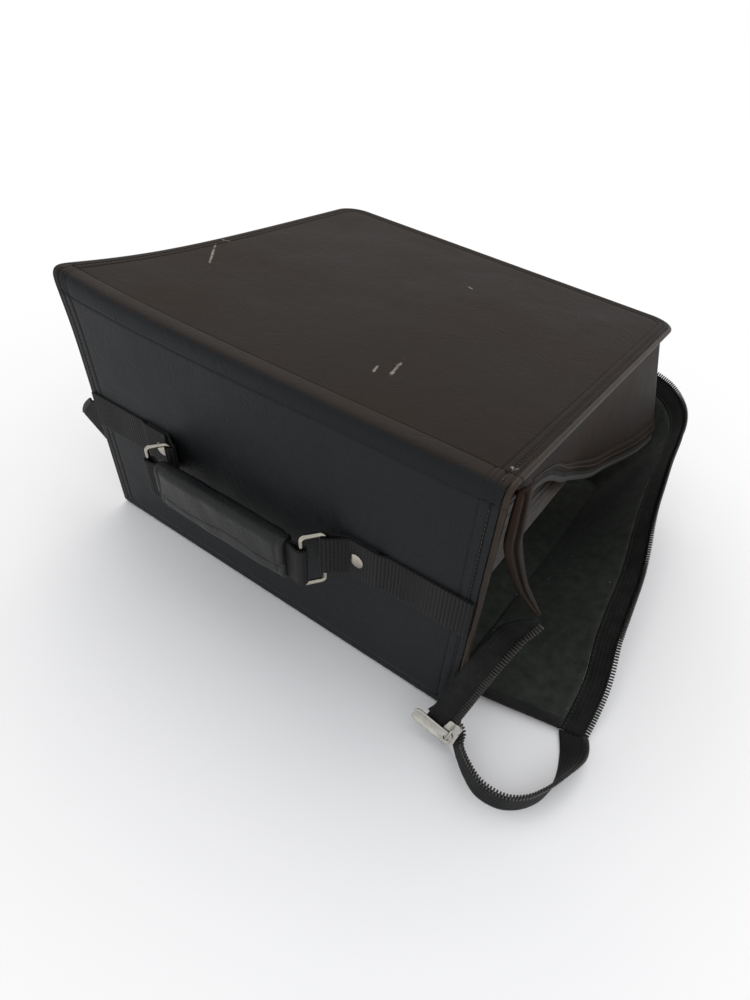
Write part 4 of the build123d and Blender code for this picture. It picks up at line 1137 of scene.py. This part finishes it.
strap_outline = [(half_length - 4.1 * mm, strap_rest), (ply_tail + 8 * mm, strap_rest),
                 (ply_tail + 1 * mm, strap_rest + ply_pitch), (rivet_x - 6 * mm, strap_rest + ply_pitch),
                 (loop_x + 1 * mm, loop_stand_off + loop_radius),
                 (loop_x - loop_radius, loop_stand_off + loop_radius),
                 (loop_x - loop_radius, loop_stand_off - loop_radius),
                 (loop_x + 1 * mm, loop_stand_off - loop_radius), (rivet_x - 7 * mm, strap_rest),
                 (ply_tail, strap_rest)]
bends = [0, 4 * mm, 4 * mm, 6 * mm, *[loop_radius * 0.98] * 3, 2 * mm, 4 * mm, 0]
for side, name in ((-1, "left"), (1, "right")):
    strap_path = rounded([on_spine(side * x, strap_height, out) for x, out in strap_outline], bends)
    place(webbing(f"{name}_strap_webbing", strap_path), strap_web, "spine", "webbing", f"{name}_strap")

# Bright plate on steel, a little yellow and hazed by fingers, so that its reflections are soft. Its
# colour is darker than bare nickel, a painted reflection of the dark case round it.
nickel = empty_material("nickel plate")
haze = node(nickel, "TexNoise", {"Vector": object_point(nickel), "Scale": 1 / (2.5 * mm), "Detail": 4.0})
nickel_tone_dark_reflection = node(nickel, "Mix", {"Factor": haze.outputs["Fac"], 6: colour("#8F8A80"),
                                   7: colour("#BDB8AC")}, data_type="RGBA")
nickel_rough = node(nickel, "MapRange", {"Value": haze.outputs["Fac"], "To Min": 0.1, "To Max": 0.24})
finish_material(nickel, {"Base Color": nickel_tone_dark_reflection.outputs[2], "Metallic": 1.0, "Roughness": nickel_rough})
dress(("strap_rivets",), nickel)

# Rings
# Two rectangles of 3.2 mm nickel-plated steel wire, bent with round corners and welded shut. They
# hang between straps and handle, through a loop of each.
wire_radius, ring_corner = 1.6 * mm, 3 * mm
ring_long, ring_half_wide = 15 * mm, 21.1 * mm
ring_height = 97.3 * mm
ring_tilt = np.radians(37)
ring_way = spine_out * np.cos(ring_tilt) - along_x * np.sin(ring_tilt)
for side, name in ((-1, "left"), (1, "right")):
    strap_end = on_spine(side * loop_x, ring_height, loop_stand_off)
    corners = [strap_end + ring_way * a * ring_long + spine_up * b * ring_half_wide
               for a, b in ((0, -1), (1, -1), (1, 1), (0, 1))]
    outline = rounded(corners, [ring_corner] * 4, loop=True)[:-1]
    wire = tube(f"{name}_ring_wire", outline, wire_radius, sides=16, loop=True,
                start_normal=np.cross(ring_way, spine_up))
    place(wire, nickel, f"{name}_ring", "ring_metal", f"{name}_ring")

# Handle
# One length of the same webbing makes both loops of the handle. Its ends meet under a padded
# grip of black leatherette, which is wrapped round it, lapped over and stitched at both ends.
handle_middle = on_spine(-9.03 * mm, 93.6 * mm, 21.98 * mm)
handle_loop = loop_radius / mm
half_handle = [(-3, -0.95), (-59, -0.95), (-67, -handle_loop), (-71.85, -handle_loop),
               (-71.85, handle_loop), (-67, handle_loop), (-59, 0.95)]
half_bends = [0, 4, 4, 2.79, 2.79, 4, 4]
handle_outline = [handle_middle + along_x * a * mm + spine_out * b * mm
                  for a, b in half_handle + [(-a, b) for a, b in half_handle[::-1]]]
handle_path = rounded(handle_outline, np.array(half_bends + half_bends[::-1]) * mm)
place(webbing("handle_web", handle_path), strap_web, "handle", "webbing", "handle_webbing")


def rounded_box(half_long, half_wide, radius):
    """Closed, flat outline of a rectangle with round corners."""
    corners = [(a * half_long, b * half_wide, 0) for a, b in ((1, 1), (-1, 1), (-1, -1), (1, -1))]
    return rounded(corners, [radius] * 4, loop=True)


# The grip's section is a rounded rectangle. Along it, the ends tuck in, a sewn band is drawn tight,
# the padding swells between the bands, and the leatherette's free edge laps over the front face,
# where it wanders a little and stands proud of a shaded step.
grip_half, grip_high, grip_deep = 58 * mm, 36 * mm, 11 * mm
band_at = 5.2
end_steps = np.array([0, 0.15, 0.5, 1.0, 1.6]) * mm
grip_x = np.concatenate([-grip_half + end_steps,
                         np.linspace(-grip_half + 2 * mm, grip_half - 2 * mm, 140),
                         grip_half - end_steps[::-1]])[:, None]
high, deep = evenly(rounded_box(grip_high / 2, grip_deep / 2, 4.6 * mm), 97)[:-1, :2].T
in_end = (grip_half - np.abs(grip_x)) / mm
tuck = np.sqrt(np.clip(1 - (1 - np.clip(in_end / 2, 0, 1)) ** 2, 0, 1))
band = -1.1 * np.exp(-((in_end - band_at) / 0.7) ** 2) - 0.35 * (in_end < band_at)
pad = 0.9 * np.clip((in_end - 6) / 26, 0, 1) ** 0.6
creases = 0.28 * np.sin(grip_x / (6.3 * mm)) + 0.22 * np.sin(grip_x / (3.6 * mm) + 1.0)
swollen = band + pad + creases * np.sin(high / (7 * mm)) * (in_end > 5)
swollen = swollen * np.clip(np.abs(deep) / (4 * mm), 0, 1)
lap = -5.6 + 3.2 * (grip_x + grip_half) / (2 * grip_half) + 1.7 * np.sin(grip_x / (12 * mm) + 0.6)
above_lap = high / mm - lap
lapped = (1.7 / (1 + np.exp(-above_lap / 0.35)) - 1.5 * np.exp(-((above_lap + 1.6) / 1.3) ** 2)
          + 0.3 * np.exp(-((above_lap - 1.2) / 0.8) ** 2)) * np.clip(deep / (grip_deep / 2), 0, 1)
grip_up = high * (1 - 0.03 * (1 - tuck))
grip_out = (deep + np.sign(deep) * (swollen + lapped) * 0.8 * mm) * (0.55 + 0.45 * tuck)
grip_points = (handle_middle + along_x * grip_x[..., None] + spine_up * grip_up[..., None]
               + spine_out * grip_out[..., None])
grip = surface("grip_sleeve", grip_points[:, ::-1], ring=True, ends=True)
# Soft and worn by hands, this leatherette is black and the shiniest on the case.
grip_leather = leatherette("grip leatherette", "#0E0F10", "#1C1D1D", roughness=(0.38, 0.5), gloss=0.3,
                           grain=1.3 * mm)
place(grip, grip_leather, "handle", "grip_leather", "handle_grip")
for side, name in ((-1, "left"), (1, "right")):
    band_ring = grip_points[np.argmin(np.abs(grip_x[:, 0] - side * (grip_half - band_at * mm)))]
    band_ring = np.concatenate([band_ring, band_ring[:1]])
    outward = np.cross(along_x, np.gradient(band_ring, axis=0))
    outward *= np.sign(np.sum(outward * (band_ring - band_ring.mean(axis=0)), axis=1))[:, None]
    place(stitches(f"grip_{name}_stitches", band_ring, outward, pitch=2.9 * mm, radius=0.3 * mm), thread,
          "handle", "grip_leather")

# Two pads of pale, matt, open-celled foam lie under it, one on each side of the webbing.
foam = empty_material("polyurethane foam")
cells = node(foam, "TexVoronoi", {"Vector": object_point(foam), "Scale": 1 / (1.1 * mm)})
foam_tone = node(foam, "Mix", {"Factor": cells.outputs["Distance"], 6: colour("#8C887C"),
                               7: colour("#C9C4B4")}, data_type="RGBA")
foam_bump = node(foam, "Bump", {"Height": cells.outputs["Distance"], "Distance": 0.4 * mm})
finish_material(foam, {"Base Color": foam_tone.outputs[2], "Roughness": 0.95, "Normal": foam_bump})
foam_half_long, foam_half_high, foam_out = 50 * mm, 13 * mm, 2.95 * mm
a, b = np.meshgrid(np.linspace(-foam_half_long, foam_half_long, 50),
                   np.linspace(-foam_half_high, foam_half_high, 16), indexing="ij")
for side, name, nodes in ((-1, "inner", ["handle_core"]), (1, "outer", [])):
    out = side * foam_out + 0.12 * mm * np.sin(a / (3 * mm)) * np.sin(b / (4 * mm))
    pad_points = (handle_middle + along_x * a[..., None] + spine_up * b[..., None]
                  + spine_out * out[..., None])
    foam_pad = thicken(surface(f"grip_foam_{name}", pad_points), 1.8 * mm, outward=0)
    place(foam_pad, foam, "handle", "foam", *nodes)

# Sleeves
# Disc sleeves of soft black plastic film, sewn in three bundles. Each leaf is two thin sheets,
# welded along their edges and crosswise in the middle into four pockets.
bound_pitch, free_pitch = 3.9 * mm, 2.1 * mm
leaves = 6
sleeve_half_width, sleeve_depth = half_length - 18 * mm, cover_depth - 44 * mm
sleeve_corner, disc_radius = 9 * mm, 60 * mm
bundle_start = 79 * mm
film_thickness = 0.42 * mm
running_gap, binding_thickness = 0.45 * mm, 1.2 * mm

# Polypropylene film is smooth, black and half glossy, and its cut edges are worn brown.
film = empty_material("polypropylene sleeve film")
film_wear = node(film, "TexNoise", {"Vector": object_point(film), "Scale": 1 / (18.18 * mm),
                                    "Detail": 5.0}).outputs["Fac"]
film_worn = node(film, "MapRange", {"Value": film_wear, "From Min": 0.35, "From Max": 0.7})
film_edge = node(film, "Mix", {"Factor": film_worn, 6: colour("#19130E"), 7: colour("#43372B")},
                 data_type="RGBA")
film_face = node(film, "Mix", {"Factor": film_worn, 6: colour("#121211"), 7: colour("#1F1E1C")},
                 data_type="RGBA")
film_place = node(film, "SeparateXYZ", {0: node(film, "TexCoord").outputs["UV"]})
from_middle = node(film, "Math", {0: film_place.outputs[0], 1: sleeve_half_width}, operation="SUBTRACT")
from_middle = node(film, "Math", {0: from_middle}, operation="ABSOLUTE")
near_sides, near_end = [
    node(film, "MapRange", {"Value": distance, "From Min": edge - 4 * mm, "From Max": edge - 2 * mm})
    for distance, edge in ((from_middle, sleeve_half_width), (film_place.outputs[1], sleeve_depth))]
near_edge = node(film, "Math", {0: near_sides, 1: near_end}, operation="MAXIMUM")
film_base = node(film, "Mix", {"Factor": near_edge, 6: film_face.outputs[2], 7: film_edge.outputs[2]},
                 data_type="RGBA")
film_bump = node(film, "Bump", {"Height": film_wear, "Distance": 0.4 * mm, "Strength": 0.4})
finish_material(film, {"Base Color": film_base.outputs[2], "Roughness": 0.42, "Normal": film_bump})


def binding_y(z):
    """Where the binding strip's face stands at a height."""
    return near_y + 7.576 * mm - z * np.tan(lean)


def sleeve_sheet(order, sheet, edge_z):
    """Points of one sheet of a leaf, from its bound edge out. Its free corners are drawn in, its
    edges wave, and on the upper sheet discs push up four round pockets between the welds. The
    whole sheet leans down towards its free edge, because the leaves lie closer together there."""
    steps_across, steps_out = (78, 74) if sheet else (46, 44)
    a, b = np.meshgrid(np.linspace(-1, 1, steps_across), np.linspace(0, 1, steps_out), indexing="ij")
    inset = 1.2 * mm * np.abs(np.sin(order * 2.1 + sheet))
    x = a * (sleeve_half_width - inset)
    down = b * (sleeve_depth - inset)
    corner_x = np.clip((np.abs(x) - (sleeve_half_width - inset - sleeve_corner)) / sleeve_corner, 0, 1)
    corner_y = np.clip((down - (sleeve_depth - inset - sleeve_corner)) / sleeve_corner, 0, 1)
    x = x - np.sign(x) * sleeve_corner * corner_x * (1 - np.sqrt(1 - corner_y ** 2 / 2))
    down = down - sleeve_corner * corner_y * (1 - np.sqrt(1 - corner_x ** 2 / 2))
    wave = 0.26 * np.maximum(np.abs(a), b) ** 6 * np.sin(
        x / (23 * mm) + order * 1.7 + sheet) * np.cos(down / (29 * mm) + order)
    from_disc = np.hypot(np.abs(x) - sleeve_half_width / 2,
                         np.abs(down - sleeve_depth / 2) - sleeve_depth / 4)
    pocket = 0.3 / (1 + np.exp((from_disc - disc_radius) / (1.6 * mm)))
    weld = 0.3 * np.exp(-(x / (3 * mm)) ** 2) + 0.3 * np.exp(-((down - sleeve_depth / 2) / (3 * mm)) ** 2)
    rise = (0.6 + wave + (0.8 + pocket - weld) * sheet) * mm
    slope = -np.arctan2((bound_pitch - free_pitch) * order, sleeve_depth)
    y = binding_y(edge_z) + 1.65 * mm + down * np.cos(slope) - rise * np.sin(slope)
    z = edge_z + down * np.sin(slope) + rise * np.cos(slope)
    return np.stack([x, y, z], axis=-1)


# Binding tape is a plain black cotton twill, matt and a little dusty.
black_tape = woven("cotton twill tape", "#161616", "#2A2A29", 1.2 * mm)
bundles = (("bottom", "spine"), ("middle", "middle_sleeve_bundle"), ("top", "top_sleeve_bundle"))
for index, (name, body) in enumerate(bundles):
    base = bundle_start + index * leaves * bound_pitch
    for leaf in range(leaves):
        for sheet in range(2):
            sheet_points = sleeve_sheet(index * leaves + leaf, sheet, base + leaf * bound_pitch + 0.6 * mm)
            page = surface(f"{name}_sleeve_{leaf + 1}_{sheet + 1}", sheet_points)
            stands_for = [f"{name}_sleeves"] if leaf + sheet == 0 else []
            place(thicken(page, film_thickness, outward=0), film, body, "sleeve", *stands_for)
    tape_z, tape_x = np.meshgrid(base + np.linspace(0.15 * mm, leaves * bound_pitch - 0.15 * mm, 24),
                                 np.linspace(-sleeve_half_width, sleeve_half_width, 90), indexing="ij")
    tape_y = binding_y(tape_z) + running_gap + binding_thickness / 2
    binding = surface(f"{name}_binding_tape", np.stack([tape_x, tape_y, tape_z], axis=-1))
    place(thicken(binding, 1.1 * mm, outward=0), black_tape, body, "binding", f"{name}_sleeve_binding")
dress(("binding_strip",), black_tape)

# Slider and pull tab
# The slider's body and bridge are die-cast zinc. The pull tab is a plain stamped plate of the same
# metal, with rounded ends, a raised rim and a hole at its upper end.
tab_long, tab_wide, tab_thick, tab_hole = 29 * mm, 9 * mm, 1.2 * mm, 2 * mm
tab_from_pivot = 10.9 * mm
bevel, rim_rise = 0.28 * mm, 0.12 * mm

# Worn plating is pale and bright, with soft patches and fine scratches that all run one way.
zinc = empty_material("worn zinc plating")
zinc_point = object_point(zinc)
zinc_wear = node(zinc, "TexNoise", {"Vector": zinc_point, "Scale": 1 / (9.09 * mm), "Detail": 4.0})
scratch_point = node(zinc, "VectorMath", {0: zinc_point, 1: (900.0, 900.0, 70.0)}, operation="MULTIPLY")
scratches = node(zinc, "TexNoise", {"Vector": scratch_point, "Scale": 1.0, "Detail": 3.0}).outputs["Fac"]
zinc_patches = node(zinc, "MapRange", {"Value": zinc_wear.outputs["Fac"], "From Min": 0.35,
                                       "From Max": 0.65})
zinc_tone = node(zinc, "Mix", {"Factor": zinc_patches, 6: colour("#B0ADA5"), 7: colour("#C6C3BB")},
                 data_type="RGBA")
zinc_rough = node(zinc, "MapRange", {"Value": scratches, "From Min": 0.3, "From Max": 0.7, "To Min": 0.16,
                                     "To Max": 0.36})
zinc_bump = node(zinc, "Bump", {"Height": scratches, "Distance": 0.05 * mm, "Strength": 0.4})
finish_material(zinc, {"Base Color": zinc_tone.outputs[2], "Metallic": 1.0, "Roughness": zinc_rough,
                       "Normal": zinc_bump})
dress(("slider_body", "slider_bridge"), zinc)


def tab_outline(grow):
    """The tab's rounded outline, grown by a distance, as a ring of points from the pivot."""
    ring = rounded_box(tab_long / 2 + grow, tab_wide / 2 + grow, 3.2 * mm + grow)
    return evenly(ring + [tab_from_pivot, 0, 0], 65)[:-1]


def hole_outline(grow):
    """The hole's ring, each point toward the outline's point of the same number."""
    return unit(tab_outline(0)) * (tab_hole + grow)


# Rings of the plate from the hole over its upper face and round its edge, and back beneath.
top, rim_foot = tab_thick / 2, tab_thick / 2 - rim_rise
tab_rings = [(hole_outline(0), top - bevel), (hole_outline(bevel), top), (hole_outline(0.9 * mm), top),
             (hole_outline(1.1 * mm), rim_foot), (tab_outline(-1.4 * mm), rim_foot),
             (tab_outline(-1.2 * mm), top), (tab_outline(-bevel), top), (tab_outline(0), top - bevel),
             (tab_outline(0), bevel - top), (tab_outline(-bevel), -top), (hole_outline(bevel), -top),
             (hole_outline(0), bevel - top), (hole_outline(0), top - bevel)]
tail_out = np.cross(tail_across, tail_way)
tab_pivot = foot_middle + (tail_way * 3.5 + tail_across * 9.85 + tail_out * 3.3) * mm
tab_side = np.cross(tail_out, -tail_across)
pull_tab = surface("pull_tab_plate", np.stack([
    tab_pivot - ring[:, :1] * tail_across + ring[:, 1:2] * tab_side + level * tail_out
    for ring, level in tab_rings]), ring=True)
place(pull_tab, zinc, "pull_tab", "slider_metal", "pull_tab")
